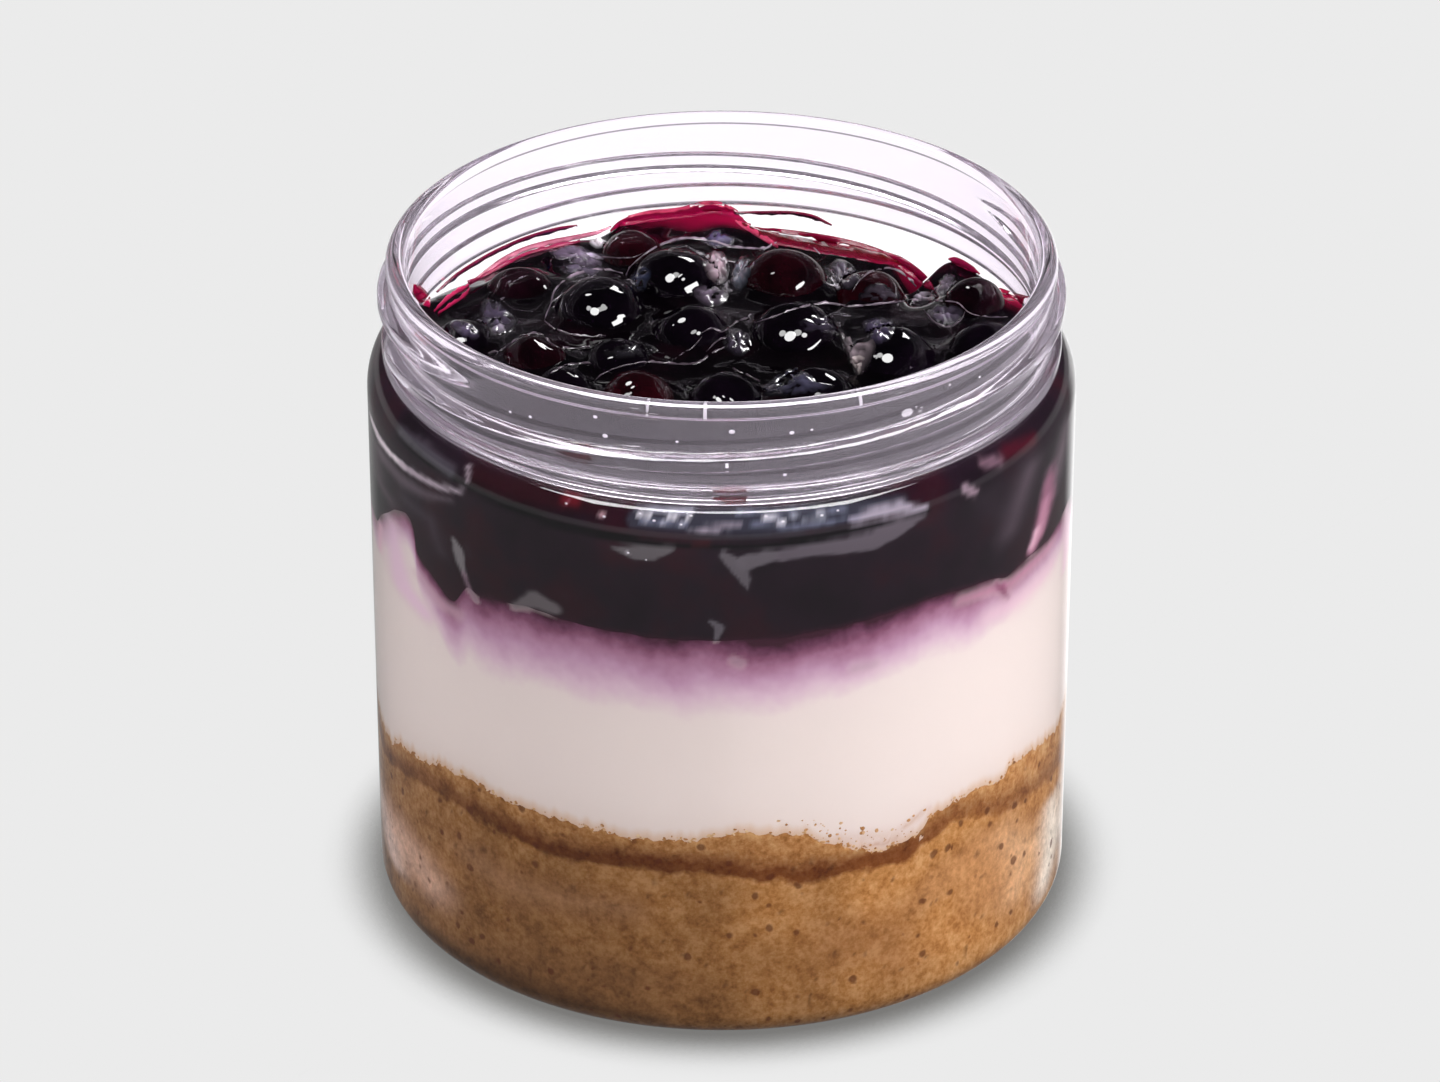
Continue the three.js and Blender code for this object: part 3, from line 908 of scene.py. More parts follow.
# Small seeded draws, one row of numbers for each seed
def seededDraw(seed):
    state = seed
    while True:
        state = state * 16807 % 2147483647
        yield state / 2147483647


# Shallow hollows in the face of the crumb, sorted by the cell of azimuth that they lie in
def drawPits():
    draw = seededDraw(11)
    pits = {}
    for _ in range(crumb["pits"]):
        azimuth, height, size = 360 * next(draw), 2 + 19 * next(draw) ** 1.6, 0.2 + 0.35 * next(draw) ** 2
        pits.setdefault(int(azimuth / crumb["pitCell"]), []).append((azimuth, height, size))
    return pits


# How deep in a pit a place is, from 0 to 1
def pitShare(pits, azimuth, height):
    cell = int(azimuth / crumb["pitCell"])
    share = 0
    for near in (cell - 1, cell, cell + 1):
        for pitAzimuth, pitHeight, size in pits.get(near % crumb["pitCells"], []):
            away = math.hypot(turnBetween(azimuth, pitAzimuth) * crumb["mmPerDegree"], height - pitHeight)
            share = max(share, 1 - smoothStep(size * 0.4, size, away))
    return share


# How golden the crumb is at a place, with painted light from above and the right and painted shade at the
# left
def goldenAndLitAt(azimuth, radius, height):
    golden = crumb["golden"] + crumb["goldenAndLitRise"] * (height - 10) / 10
    for place, spread, rise in goldenAndLitWaves:
        golden += rise * math.exp(-((turnBetween(azimuth, place) / spread) ** 2))
    return golden + 0.3 * roughAt(azimuth, radius, height, 6, 9)


# How dark the darker line is: full in front, less at both sides
def darkLineAt(azimuth):
    right, left = smoothStep(300, 315, azimuth), 1 - smoothStep(215, 240, azimuth)
    return crumb["soaked"] - crumb["darkToneLessRight"] * right - crumb["darkToneLessLeft"] * left


def makeCrumb():
    edge, top, foot = layers["wall"], layers["crumbHeight"], crumb["foot"]
    points = list(crumb["underside"])
    points += arcPoints(34, 2.73, edge - 34, edge - 34, -90, 0, 10)
    points += linePoints((edge, foot), (edge, top), layers["rowHeight"])
    points += [(edge * share, top) for share in (0.985, 0.97, 0.95, 0.92, 0.85, 0.7, 0.5, 0.25, 0)]
    bm = spinProfile(points, turnSteps)
    aboveLayer = bm.verts.layers.float.new("aboveTide")
    darkLineLayer = bm.verts.layers.float.new("soaked")
    pitLayer = bm.verts.layers.float.new("pit")
    goldenLayer = bm.verts.layers.float.new("golden")
    paintLayer = bm.verts.layers.float_color.new("paint")
    strokes = readStrokes(crumbPaintedLightAndTone)
    pits = drawPits()
    for vertex in bm.verts:
        azimuth, radius = polar(vertex.co)
        height = vertex.co.z / mm
        upper = crumbTop(azimuth, radius)
        risen = height if height < foot else foot + (height - foot) / (top - foot) * (upper - foot)
        vertex[aboveLayer] = risen - edgeAt("darkLine", azimuth)
        vertex[darkLineLayer] = darkLineAt(azimuth)
        vertex[goldenLayer] = goldenAndLitAt(azimuth, radius, height)
        vertex[paintLayer] = paintAt(strokes, azimuth, height, colour("#9a6c46"))
        if height < foot - 0.01:
            continue
        if radius > edge - 0.01:
            pitDepthAndShade = pitShare(pits, azimuth, risen)
            # how deep, which also sets the painted shade in the pits
            vertex[pitLayer] = pitDepthAndShade
            radius -= crumb["pitDepth"] * pitDepthAndShade
        placeAt(vertex, azimuth, radius, risen)
    return finishPiece("crumb_layer", bm, [makeCrumbMaterial()], ["crumb_base"])


makeCrumb()


looseCrumb = {
    "count": 620,
    "batch": 40,
    "smallest": 0.07,
    "largest": 0.3,
    "flatness": 0.4,
    "rough": 0.3,
    "rise": 0.6,  # mm above the edge of the crumb
    "mixedFrom": 278,  # azimuths between which the cream is mixed with crumb
    "mixedTo": 308,
    "mixedCount": 90,
    "mixedRise": 2.6,
}


# Loose crumbs pressed into the cream, against the wall, just above the edge of the crumb
def makeLooseCrumb():
    draw = seededDraw(57)
    whole = bmesh.new()
    batch = None
    for number in range(looseCrumb["count"] + looseCrumb["mixedCount"]):
        if number % looseCrumb["batch"] == 0:
            if batch:
                addTo(whole, batch)
            batch = bmesh.new()
            golden = batch.verts.layers.float.new("golden")
        mixed = number >= looseCrumb["count"]
        azimuth, rise = 360 * next(draw), looseCrumb["rise"] * next(draw) ** 1.5
        if mixed:
            reach = looseCrumb["mixedTo"] - looseCrumb["mixedFrom"]
            azimuth = looseCrumb["mixedFrom"] + reach * (next(draw) + next(draw)) / 2
            rise = looseCrumb["mixedRise"] * next(draw) ** 1.3
        size = looseCrumb["smallest"] + (looseCrumb["largest"] - looseCrumb["smallest"]) * next(draw) ** 3
        deep = looseCrumb["flatness"] * size
        height = crumbTop(azimuth, layers["wall"]) + rise - 0.1
        turn = Matrix.Rotation(math.radians(azimuth), 4, "Z")
        place = Matrix.Translation(Vector((layers["wall"] + 0.02 - deep, 0, height)) * mm)
        spread = Matrix.Diagonal((deep * mm, size * mm, size * (0.6 + 0.5 * next(draw)) * mm, 1))
        made = bmesh.ops.create_icosphere(batch, subdivisions=2, radius=1, matrix=turn @ place @ spread)
        toned = 0.2 + 0.6 * next(draw)
        for vertex in made["verts"]:
            lump = looseCrumb["rough"] * size * noise.noise(vertex.co / (0.8 * size * mm))
            vertex.co += vertex.co.normalized() * lump * mm
            vertex[golden] = toned
    addTo(whole, batch)
    finishPiece("loose_crumb", whole, [makeLooseCrumbMaterial()])


# The same crumb in single grains, matt and paler where it is dry
def makeLooseCrumbMaterial():
    material, tree, shader = newMaterial("looseBiscuitCrumb")
    golden = addNode(tree, "ShaderNodeAttribute", {"attribute_name": "golden"})
    tone = addNode(
        tree, "ShaderNodeValToRGB", {"stops": [(0.2, "#a5713c"), (0.45, "#cf9f6c"), (0.8, "#ecd0aa")]},
        {0: golden.outputs["Fac"]},
    )
    tree.links.new(tone.outputs["Color"], shader.inputs["Base Color"])
    shader.inputs["Roughness"].default_value = 0.9
    shader.inputs["Specular IOR Level"].default_value = 0.1
    return material


makeLooseCrumb()


# Marks that the front wall shows on the compote and on the top of the cream: smears, stains and air pockets,
# and painted reflections and highlights of the plastic
wallMarksAndPaintedLight = [
    # grey and lilac sheen of the plastic, painted near the left and right edges as reflections
    ("#3d373d", 0.7, 16, [(420, 450, 8), (450, 472, 9)]),
    ("#8a7682", 0.85, 30, [(1066, 425, 5), (1062, 450, 9), (1056, 475, 9), (1052, 495, 6)]),
    ("#685763", 0.8, 30, [(1030, 470, 12), (1020, 500, 12), (1010, 530, 10)]),
    ("#77626f", 0.8, 28, [(376, 450, 5), (379, 480, 7), (390, 500, 7)]),
    ("#5a4c5a", 0.7, 34, [(405, 500, 9), (430, 520, 9), (440, 550, 8)]),
    ("#40343f", 0.5, 40, [(985, 500, 14), (1010, 520, 14), (1000, 550, 10)]),
    ("#2c0c15", 0.9, 14, [(476, 478, 10), (540, 494, 12), (600, 506, 9)]),
    ("#6e1622", 0.8, 6, [(566, 498, 5), (577, 501, 4)]),
    ("#3e404c", 0.85, 8, [
        (634, 520, 8), (680, 521, 11), (720, 523, 12), (800, 521, 10), (850, 510, 8), (905, 499, 4),
    ]),
    # painted highlight, a bright lens above the air pocket
    ("#c3b8c8", 0.85, 5, [(852, 521, 3), (876, 514, 5), (902, 508, 5), (928, 507, 2)]),
    ("#060307", 1.0, 4, [
        (398, 434, 3), (430, 462, 4), (460, 482, 4), (510, 506, 5), (550, 522, 5), (590, 531, 5),
        (640, 541, 4), (690, 546, 3), (727, 547, 3), (762, 548, 3), (793, 541, 4), (815, 539, 4),
        (843, 533, 4), (870, 527, 3), (897, 520, 3), (929, 511, 2),
    ]),
    ("#3c0f18", 0.9, 5, [(694, 543, 3), (708, 543, 3)]),
    ("#6c666a", 0.95, 5, [(613, 548, 2), (634, 553, 8), (652, 554, 8), (672, 549, 3)]),
    ("#6b646b", 0.95, 5, [(724, 556, 5), (737, 566, 9), (745, 580, 6), (748, 590, 1)]),
    ("#6b646b", 0.95, 5, [(745, 563, 9), (772, 556, 7)]),
    ("#685f68", 0.95, 5, [
        (782, 556, 7), (812, 550, 7), (845, 546, 9), (872, 541, 11), (900, 528, 9), (925, 515, 2),
    ]),
    ("#cfc8d0", 0.9, 3, [(626, 552, 1.2), (628, 554, 1.2)]),
    ("#dcd8e0", 0.9, 2.5, [(638, 513, 1.5), (646, 519, 2), (653, 511, 1.2)]),
    ("#dcd8e0", 0.9, 2.5, [(662, 523, 1.5), (672, 515, 1.6), (682, 524, 1.2), (692, 514, 1.6)]),
    ("#e4e0e8", 0.9, 2.5, [(764, 516, 2), (783, 522, 2)]),
    ("#e4e0e8", 0.9, 2.5, [(818, 515, 2), (826, 514, 1.6)]),
    ("#c8788c", 0.9, 2.5, [(565, 504, 1.5), (568, 504, 1.2)]),
    # painted highlight
    ("#c9a0a8", 0.9, 2.5, [(601, 515, 2), (605, 518, 1.5)]),
    ("#8f898c", 0.95, 4, [(454, 540, 3), (458, 550, 6), (460, 562, 5), (464, 574, 3)]),
    ("#9a7e8e", 0.85, 5, [(464, 574, 3), (469, 588, 3), (476, 600, 3)]),
    ("#7c7578", 0.9, 8, [(515, 606, 4), (535, 600, 10), (555, 609, 7)]),
    ("#6e6870", 0.95, 4, [(711, 622, 3), (720, 628, 5), (716, 639, 3)]),
    ("#8c6c7c", 0.8, 6, [(984, 463, 5), (1000, 461, 5)]),
    # painted highlight
    ("#a08896", 0.9, 4, [(966, 489, 5), (975, 492, 4)]),
    ("#4c0f20", 0.9, 10, [(1008, 452, 7), (1032, 440, 6)]),
    ("#8c6478", 0.8, 12, [(1050, 470, 5), (1047, 500, 6)]),
    ("#a8708a", 0.9, 12, [(1049, 480, 5), (1046, 505, 9), (1040, 530, 9), (1033, 548, 6)]),
    ("#d095ae", 0.9, 8, [(1046, 500, 3), (1043, 518, 5), (1038, 536, 5), (1032, 549, 4)]),
    ("#ffd2e4", 0.8, 8, [(1037, 530, 3), (1032, 545, 3)]),
    # painted reflection of the shoulder at the left: a grey veil, a near-white highlight and its fading tail,
    # a grey streak and a small highlight
    ("#80707c", 0.7, 14, [(382, 455, 8), (400, 478, 8), (425, 494, 6), (450, 500, 3)]),
    ("#fff2fa", 0.95, 6, [(373, 424, 5), (379, 438, 5), (389, 452, 4), (402, 465, 4)]),
    ("#c4b4c0", 0.9, 6, [(402, 465, 4), (420, 477, 4), (440, 487, 3.5), (462, 492, 2)]),
    ("#544e58", 0.8, 7, [(402, 430, 4), (424, 448, 5), (450, 470, 5)]),
    ("#a898a2", 0.8, 3, [(468, 467, 2), (468, 479, 2)]),
    ("#b9b8c8", 0.8, 2.5, [(636, 510, 1.6), (662, 511, 1.6), (692, 511, 1.2)]),
    ("#8488a0", 0.8, 2.5, [(640, 519, 1.4), (664, 521, 2), (686, 523, 1.2)]),
    ("#cabccc", 0.85, 2.5, [(688, 528, 1.2), (704, 529, 2), (722, 528, 2), (742, 527, 1)]),
    ("#868aa0", 0.8, 3, [(738, 513, 1.4), (770, 514, 2), (800, 511, 2), (846, 507, 1.4)]),
    ("#7d8198", 0.8, 3, [(752, 526, 1.4), (790, 526, 2), (830, 521, 2), (862, 515, 1.4)]),
    ("#c9ccda", 0.85, 2.5, [(780, 520, 1.4), (800, 518, 1.8), (826, 516, 1.2)]),
]


# Marks that it shows on the cream alone
creamStrokes = [
    ("#7a4a68", 0.8, 7, [(1003, 584, 2), (1004, 592, 2)]),
    ("#8a6480", 0.7, 9, [(733, 661, 4), (741, 664, 4)]),
    ("#9c7f96", 0.5, 12, [(855, 668, 6), (875, 664, 5)]),
    ("#dcbb9b", 0.6, 20, [(838, 838, 4), (868, 838, 7), (895, 834, 6), (922, 816, 3)]),
    ("#c89a78", 0.7, 5, [(868, 846, 2), (884, 843, 3), (898, 839, 2)]),
    ("#cfa686", 0.6, 6, [(905, 826, 2), (918, 816, 3), (930, 806, 2)]),
    ("#f6cfe2", 0.7, 26, [(990, 615, 8), (1020, 600, 12), (1048, 570, 10)]),
    ("#d988b0", 0.75, 14, [(960, 600, 4), (985, 592, 5), (1012, 582, 5), (1032, 564, 5), (1050, 546, 4)]),
    ("#8a4468", 0.8, 7, [(996, 583, 3), (1004, 592, 4), (1009, 597, 2)]),
    ("#ffdcee", 0.85, 8, [(1066, 508, 3), (1067, 540, 5), (1064, 570, 3)]),
    ("#f5d4eb", 0.85, 20, [(392, 524, 8), (395, 550, 11), (402, 585, 14), (424, 612, 10)]),
    ("#fbc8de", 0.8, 8, [(380, 524, 3), (380, 550, 3)]),
    ("#cf9cba", 0.7, 14, [(418, 575, 4), (436, 600, 5), (458, 614, 4)]),
]


# Set cream cheese filling: smooth, dense and matt, off-white, stained magenta by the fruit above it and
# warm where crumb has mixed into it
def makeCreamMaterial():
    material, tree, shader = newMaterial("setCreamCheese")
    place = addNode(tree, "ShaderNodeTexCoord").outputs["Object"]
    below = addNode(tree, "ShaderNodeAttribute", {"attribute_name": "belowTop"})
    broad = addNode(
        tree, "ShaderNodeTexNoise", None, {"Vector": place, "Scale": scaleOf(7.692), "Detail": 3}
    )
    fine = addNode(tree, "ShaderNodeTexNoise", None, {"Vector": place, "Scale": scaleOf(1.25), "Detail": 4})
    # The stain's depth in mm, made uneven by clouds of it and by fine specks
    clouded = addNode(
        tree, "ShaderNodeMath", {"operation": "MULTIPLY_ADD"},
        {0: broad.outputs["Fac"], 1: -4.5, 2: below.outputs["Fac"]},
    )
    level = addNode(
        tree, "ShaderNodeMath", {"operation": "MULTIPLY_ADD"},
        {0: fine.outputs["Fac"], 1: -1.6, 2: clouded.outputs[0]},
    )
    reach = addNode(
        tree, "ShaderNodeMapRange", None, {"Value": level.outputs[0], "From Min": -3.05, "From Max": 6.45}
    )
    stain = addNode(
        tree, "ShaderNodeValToRGB",
        {"stops": [(0, "#452433"), (0.07, "#6a3a54"), (0.17, "#925c79"), (0.27, "#b37f9b"), (0.48, "#d2a8c4"),
                   (0.7, "#e9cedc"), (0.96, "#f6ebe6")]},
        {0: reach.outputs[0]},
    )
    above = addNode(tree, "ShaderNodeAttribute", {"attribute_name": "aboveCrumb"})
    warmth = addNode(
        tree, "ShaderNodeMapRange", {"interpolation_type": "SMOOTHSTEP"},
        {"Value": above.outputs["Fac"], "From Min": 0.0, "From Max": 1.5, "To Min": 0.75, "To Max": 0.0},
    )
    warmed = addNode(
        tree, "ShaderNodeMix", {"data_type": "RGBA"},
        {0: warmth.outputs[0], 6: stain.outputs["Color"], 7: colour("#e2bf9f")},
    )
    # Strokes laid on from the wall: marks and stains, and painted reflections near the left edge
    paint = addNode(tree, "ShaderNodeAttribute", {"attribute_name": "paint"})
    painted = addNode(
        tree, "ShaderNodeMix", {"data_type": "RGBA"},
        {0: paint.outputs["Alpha"], 6: warmed.outputs[2], 7: paint.outputs["Color"]},
    )
    tree.links.new(painted.outputs[2], shader.inputs["Base Color"])
    shader.inputs["Roughness"].default_value = 0.6
    shader.inputs["Specular IOR Level"].default_value = 0.1
    return material


# How fast the stain fades downwards: deepest left of the middle, thin at the sides
def stainRate(azimuth):
    towardsRight = 0.2 * smoothStep(276, 300, azimuth) + 0.9 * smoothStep(312, 328, azimuth)
    towardsLeft = 1.3 * (1 - smoothStep(208, 226, azimuth))
    return 1 + towardsRight + towardsLeft


cream = {
    "rings": (0, 0.25, 0.5, 0.7, 0.85, 0.93, 0.97),  # shares of the radius
    "sunk": 1.2,  # mm that it reaches down into the crumb
}


def makeCream():
    top, foot, edge = layers["creamHeight"], layers["crumbHeight"], layers["wall"]
    shares = cream["rings"]
    points = [(edge * share, foot) for share in shares]
    points += linePoints((edge, foot), (edge, top), layers["rowHeight"])
    points += [(edge * share, top) for share in reversed(shares)]
    bm = spinProfile(points, turnSteps)
    belowLayer = bm.verts.layers.float.new("belowTop")
    aboveLayer = bm.verts.layers.float.new("aboveCrumb")
    paintLayer = bm.verts.layers.float_color.new("paint")
    strokes = readStrokes(creamStrokes + wallMarksAndPaintedLight)
    for vertex in bm.verts:
        azimuth, radius = polar(vertex.co)
        share = (vertex.co.z / mm - foot) / (top - foot)
        low, high = crumbTop(azimuth, radius) - cream["sunk"], creamTop(azimuth, radius)
        height = low + share * (high - low)
        vertex[belowLayer] = (high - height) * stainRate(azimuth)
        vertex[aboveLayer] = height - low - cream["sunk"]
        vertex[paintLayer] = paintAt(strokes, azimuth, height, colour("#ecd8d8"))
        if radius > edge - 0.01:
            radius = layers["behind"] + (edge - layers["behind"]) * smoothStep(0.1, 0.4, share)
        placeAt(vertex, azimuth, radius, height)
    return finishPiece("cream_layer", bm, [makeCreamMaterial()], ["cream"])


makeCream()


berry = {
    "flattening": 0.94,
    "dent": 0.05,  # the rest of the dent at the flower end is filled with jelly
    "dentFrom": 0.9,  # height on a ball of radius 1 at which the dent starts
    "crown": 0.00175,  # rise of the ring round the dent
    "crownRing": 0.42,
    "crownWidth": 0.1,
    "inset": 0.985,  # leaves room for the glaze and the lumps
    "tilt": 70,
    "lumps": 0.022,  # share of the radius by which a cooked berry is out of round
    "glaze": 0.06,  # mm, thickness of the jelly that clings in patches
}
redBerries = {1: 0.4, 3: 0.4, 4: 0.45, 5: 0.2, 6: 0.15, 13: 0.3, 16: 0.5}  # number and how red, of 1
sauce = {
    "climb": 0.55,  # mm that the jelly climbs each berry
    "climbReach": 0.8,
    "climbMost": 1.5,
    "nearBerry": 3,  # mm round a berry in which it matters
    "wave": 0.3,  # unevenness of the top, in mm, and its size
    "waveSize": 4.5,
    "ripple": 0.05,
    "rippleSize": 1.6,
    "rings": (0, 0.25, 0.5, 0.7, 0.85, 0.93, 0.97),  # shares of the radius, underneath
    "sunk": 1.0,  # mm that it reaches down into the cream
    "rim": 59.5,  # mm, the mean height of the edge
    "belowEdge": 0.3,
    "ringSpacing": 0.42,
    "rowHeight": 0.3,
    "filmReach": 0.7,
    "dipSlope": 0.45,
    "dip": (20.5, 21, 2.4, 4.5, 2.6),  # before the notch at the back: x, y, half widths and depth in mm
    "crimsonReach": 3.2,  # mm from the wall
}
# Where its edge is thin enough to show crimson: azimuth, spread
crimsonEdges = [(88, 14), (66, 15), (30, 6), (168, 6)]


# Place, radius, heading and lean of each berry, from its box in the frame
def readBerries():
    found = []
    draw = seededDraw(31)
    for name in sorted(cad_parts):
        if not name.startswith("berry_") or name == "berry_sauce":
            continue
        low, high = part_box(name)
        heading = math.tau * next(draw)
        lean = math.radians(berry["tilt"]) * next(draw)
        middle = (low + high) / 2 / mm
        radius = max(high.x - low.x, high.y - low.y) / 2 / mm
        found.append({
            "name": name,
            "number": int(name.split("_")[1]),
            "middle": middle,
            "radius": radius,
            "heading": heading,
            "lean": lean,
        })
    return found


berries = readBerries()


# Cooked berry under set jelly: near-black skin, purple to wine red where it is thin, and a clear
# wet coat that gives small hard highlights
def makeBerryMaterial(number):
    material, tree, shader = newMaterial(f"glazedBerrySkin{number:02d}")
    place = addNode(tree, "ShaderNodeTexCoord").outputs["Object"]
    blotch = addNode(
        tree, "ShaderNodeTexNoise", None, {"Vector": place, "Scale": scaleOf(3.846), "Detail": 3}
    )
    skin = addNode(
        tree, "ShaderNodeValToRGB", {"stops": [(0.35, "#040206"), (0.7, "#0e0610")]},
        {0: blotch.outputs["Fac"]},
    )
    wine = addNode(
        tree, "ShaderNodeValToRGB", {"stops": [(0.35, "#1a0307"), (0.7, "#44060f")]},
        {0: blotch.outputs["Fac"]},
    )
    reddened = addNode(
        tree, "ShaderNodeMix", {"data_type": "RGBA"},
        {0: redBerries.get(number, 0), 6: skin.outputs["Color"], 7: wine.outputs["Color"]},
    )
    tree.links.new(reddened.outputs[2], shader.inputs["Base Color"])
    shader.inputs["Roughness"].default_value = 0.5
    shader.inputs["Specular IOR Level"].default_value = 0.0
    shader.inputs["Coat Weight"].default_value = 0.4
    shader.inputs["Coat Roughness"].default_value = 0.02
    shader.inputs["Coat IOR"].default_value = 1.5
    return material


def makeBerry(info):
    bm = bmesh.new()
    bmesh.ops.create_icosphere(bm, subdivisions=6, radius=1)
    number = info["number"]
    seed = Vector((number * 3.7, number * 1.9, 0))
    dentFrom = berry["dentFrom"]
    for vertex in bm.verts:
        way = vertex.co.copy()
        dent = berry["dent"] * max(0.0, way.z - dentFrom) / (1 - dentFrom) * smoothStep(dentFrom, 1, way.z)
        vertex.co.z = (way.z - dent) * berry["flattening"]
        growth = berry["inset"] * (1 + berry["lumps"] * noise.noise(way * 1.3 + seed))
        # Jelly that clings in patches, and the ring round the dent
        patch = smoothStep(-0.1, 0.25, noise.noise(way * 1.9 + seed * 2))
        growth += berry["inset"] * patch * berry["glaze"] / info["radius"]
        if way.z > 0:
            offRing = (math.hypot(way.x, way.y) - berry["crownRing"]) / berry["crownWidth"]
            growth += berry["inset"] * berry["crown"] * math.exp(-offRing ** 2)
        vertex.co *= growth
    axis = Vector((math.cos(info["heading"]), math.sin(info["heading"]), 0))
    turn = Matrix.Rotation(info["lean"], 4, axis)
    place = Matrix.Translation(info["middle"] * mm)
    size = Matrix.Scale(info["radius"] * mm, 4)
    bmesh.ops.transform(bm, matrix=place @ turn @ size, verts=bm.verts[:])
    skin = makeBerryMaterial(number)
    piece = finishPiece(f"glazed_berry_{number:02d}", bm, [skin], [info["name"]])
    for receivers, (_, _, _, _, shownOn) in zip(sparkleReceivers, sparkles):
        if number in shownOn:
            receivers.objects.link(piece)
    return piece


berryPieces = [makeBerry(info) for info in berries]


# Fruit compote against the wall: almost black, purple where light gets in, magenta where it meets the cream
def makeCompoteMaterial():
    material, tree, shader = newMaterial("darkCompoteAtWall")
    place = addNode(tree, "ShaderNodeTexCoord").outputs["Object"]
    cloud = addNode(
        tree, "ShaderNodeTexNoise", None, {"Vector": place, "Scale": scaleOf(9.091), "Detail": 4}
    )
    tint = addNode(
        tree, "ShaderNodeValToRGB",
        {"stops": [(0.3, "#140a13"), (0.5, "#20111d"), (0.64, "#2c0e1a"), (0.8, "#34262f")]},
        {0: cloud.outputs["Fac"]},
    )
    above = addNode(tree, "ShaderNodeAttribute", {"attribute_name": "aboveCream"})
    fine = addNode(tree, "ShaderNodeTexNoise", None, {"Vector": place, "Scale": scaleOf(1.4286), "Detail": 3})
    level = addNode(
        tree, "ShaderNodeMath", {"operation": "MULTIPLY_ADD"},
        {0: fine.outputs["Fac"], 1: 0.8, 2: above.outputs["Fac"]},
    )
    thin = addNode(
        tree, "ShaderNodeMapRange", {"interpolation_type": "SMOOTHSTEP"},
        {"Value": level.outputs[0], "From Min": 0.2, "From Max": 1.0, "To Min": 0.9, "To Max": 0.0},
    )
    edged = addNode(
        tree, "ShaderNodeMix", {"data_type": "RGBA"},
        {0: thin.outputs[0], 6: tint.outputs["Color"], 7: colour("#3a1a2a")},
    )
    # Strokes laid on from the wall: smears, stains and air pockets, and painted reflections and highlights
    paint = addNode(tree, "ShaderNodeAttribute", {"attribute_name": "paint"})
    painted = addNode(
        tree, "ShaderNodeMix", {"data_type": "RGBA"},
        {0: paint.outputs["Alpha"], 6: edged.outputs[2], 7: paint.outputs["Color"]},
    )
    tree.links.new(painted.outputs[2], shader.inputs["Base Color"])
    shader.inputs["Roughness"].default_value = 0.5
    shader.inputs["Specular IOR Level"].default_value = 0.1
    return material


# Set fruit jelly, poured hot: glossy and wet, near black in bulk, crimson where it thins out at the wall
def makeJellyMaterial():
    material, tree, shader = newMaterial("setFruitJelly")
    place = addNode(tree, "ShaderNodeTexCoord").outputs["Object"]
    cloud = addNode(tree, "ShaderNodeTexNoise", None, {"Vector": place, "Scale": scaleOf(5), "Detail": 3})
    tint = addNode(
        tree, "ShaderNodeValToRGB",
        {"stops": [(0.3, "#040205"), (0.55, "#080408"), (0.75, "#16070f")]}, {0: cloud.outputs["Fac"]},
    )
    thin = addNode(tree, "ShaderNodeAttribute", {"attribute_name": "thin"})
    edged = addNode(
        tree, "ShaderNodeMix", {"data_type": "RGBA"},
        {0: thin.outputs["Fac"], 6: tint.outputs["Color"], 7: colour("#74082a")},
    )
    tree.links.new(edged.outputs[2], shader.inputs["Base Color"])
    shader.inputs["Roughness"].default_value = 0.06
    shader.inputs["IOR"].default_value = 1.38
    shader.inputs["Specular IOR Level"].default_value = 0.16
    return material


# Height of the jelly at a point: the poured level, drawn up round each berry and at the wall
def jellyHeight(azimuth, radius, edgeRadius):
    angle = math.radians(azimuth)
    x, y = radius * math.cos(angle), radius * math.sin(angle)
    fromWall = max(0, edgeRadius - radius)
    # The poured level, its edge drawn up the wall, and in front a film that was left higher still
    level = layers["sauceHeight"]
    edge = edgeAt("jelly", azimuth)
    rim = min(layers["sauceRim"], edge - level)
    film = edge - level - rim
    reach = max(layers["sauceRimReach"], -rim / sauce["dipSlope"])  # a dip falls gently, so its edge shows
    height = level + rim * math.exp(-fromWall / reach) + film * math.exp(-fromWall / sauce["filmReach"])
    free = 1 - math.exp(-fromWall / sauce["filmReach"])  # nothing but the film moves the edge itself
    wave = sauce["wave"] * noise.noise(Vector((x, y, 0)) / sauce["waveSize"])
    ripple = sauce["ripple"] * noise.noise(Vector((x, y, 5)) / sauce["rippleSize"])
    dipX, dipY, halfX, halfY, depth = sauce["dip"]
    dip = depth * math.exp(-((x - dipX) / halfX) ** 2 - ((y - dipY) / halfY) ** 2)
    height += free * (wave + ripple - dip)
    drawn = 0
    for info in berries:
        middle, size = info["middle"], info["radius"]
        away = math.hypot(x - middle.x, y - middle.y)
        if away > size + sauce["nearBerry"]:
            continue
        climb = sauce["climb"] * (1 + 0.4 * noise.noise(Vector((x, y, info["number"] * 3)) / 2.6))
        above = height + climb - middle.z
        ring = math.sqrt(max(0.2, size ** 2 - above * above)) - 0.05
        drawn += climb * math.exp(-max(0, away - ring) / sauce["climbReach"])
    return height + free * sauce["climbMost"] * (1 - math.exp(-drawn / sauce["climbMost"]))


# How much of the crimson of thin jelly shows at a place on the top
def thinShare(azimuth, radius, edgeRadius):
    shown = 0
    for place, spread in crimsonEdges:
        shown = max(shown, math.exp(-((turnBetween(azimuth, place) / spread) ** 4)))
    reach = sauce["crimsonReach"] * (1 + 0.6 * roughAt(azimuth, radius, 0, 3, 12))
    return shown * (1 - smoothStep(0.3 * reach, reach, edgeRadius - radius))


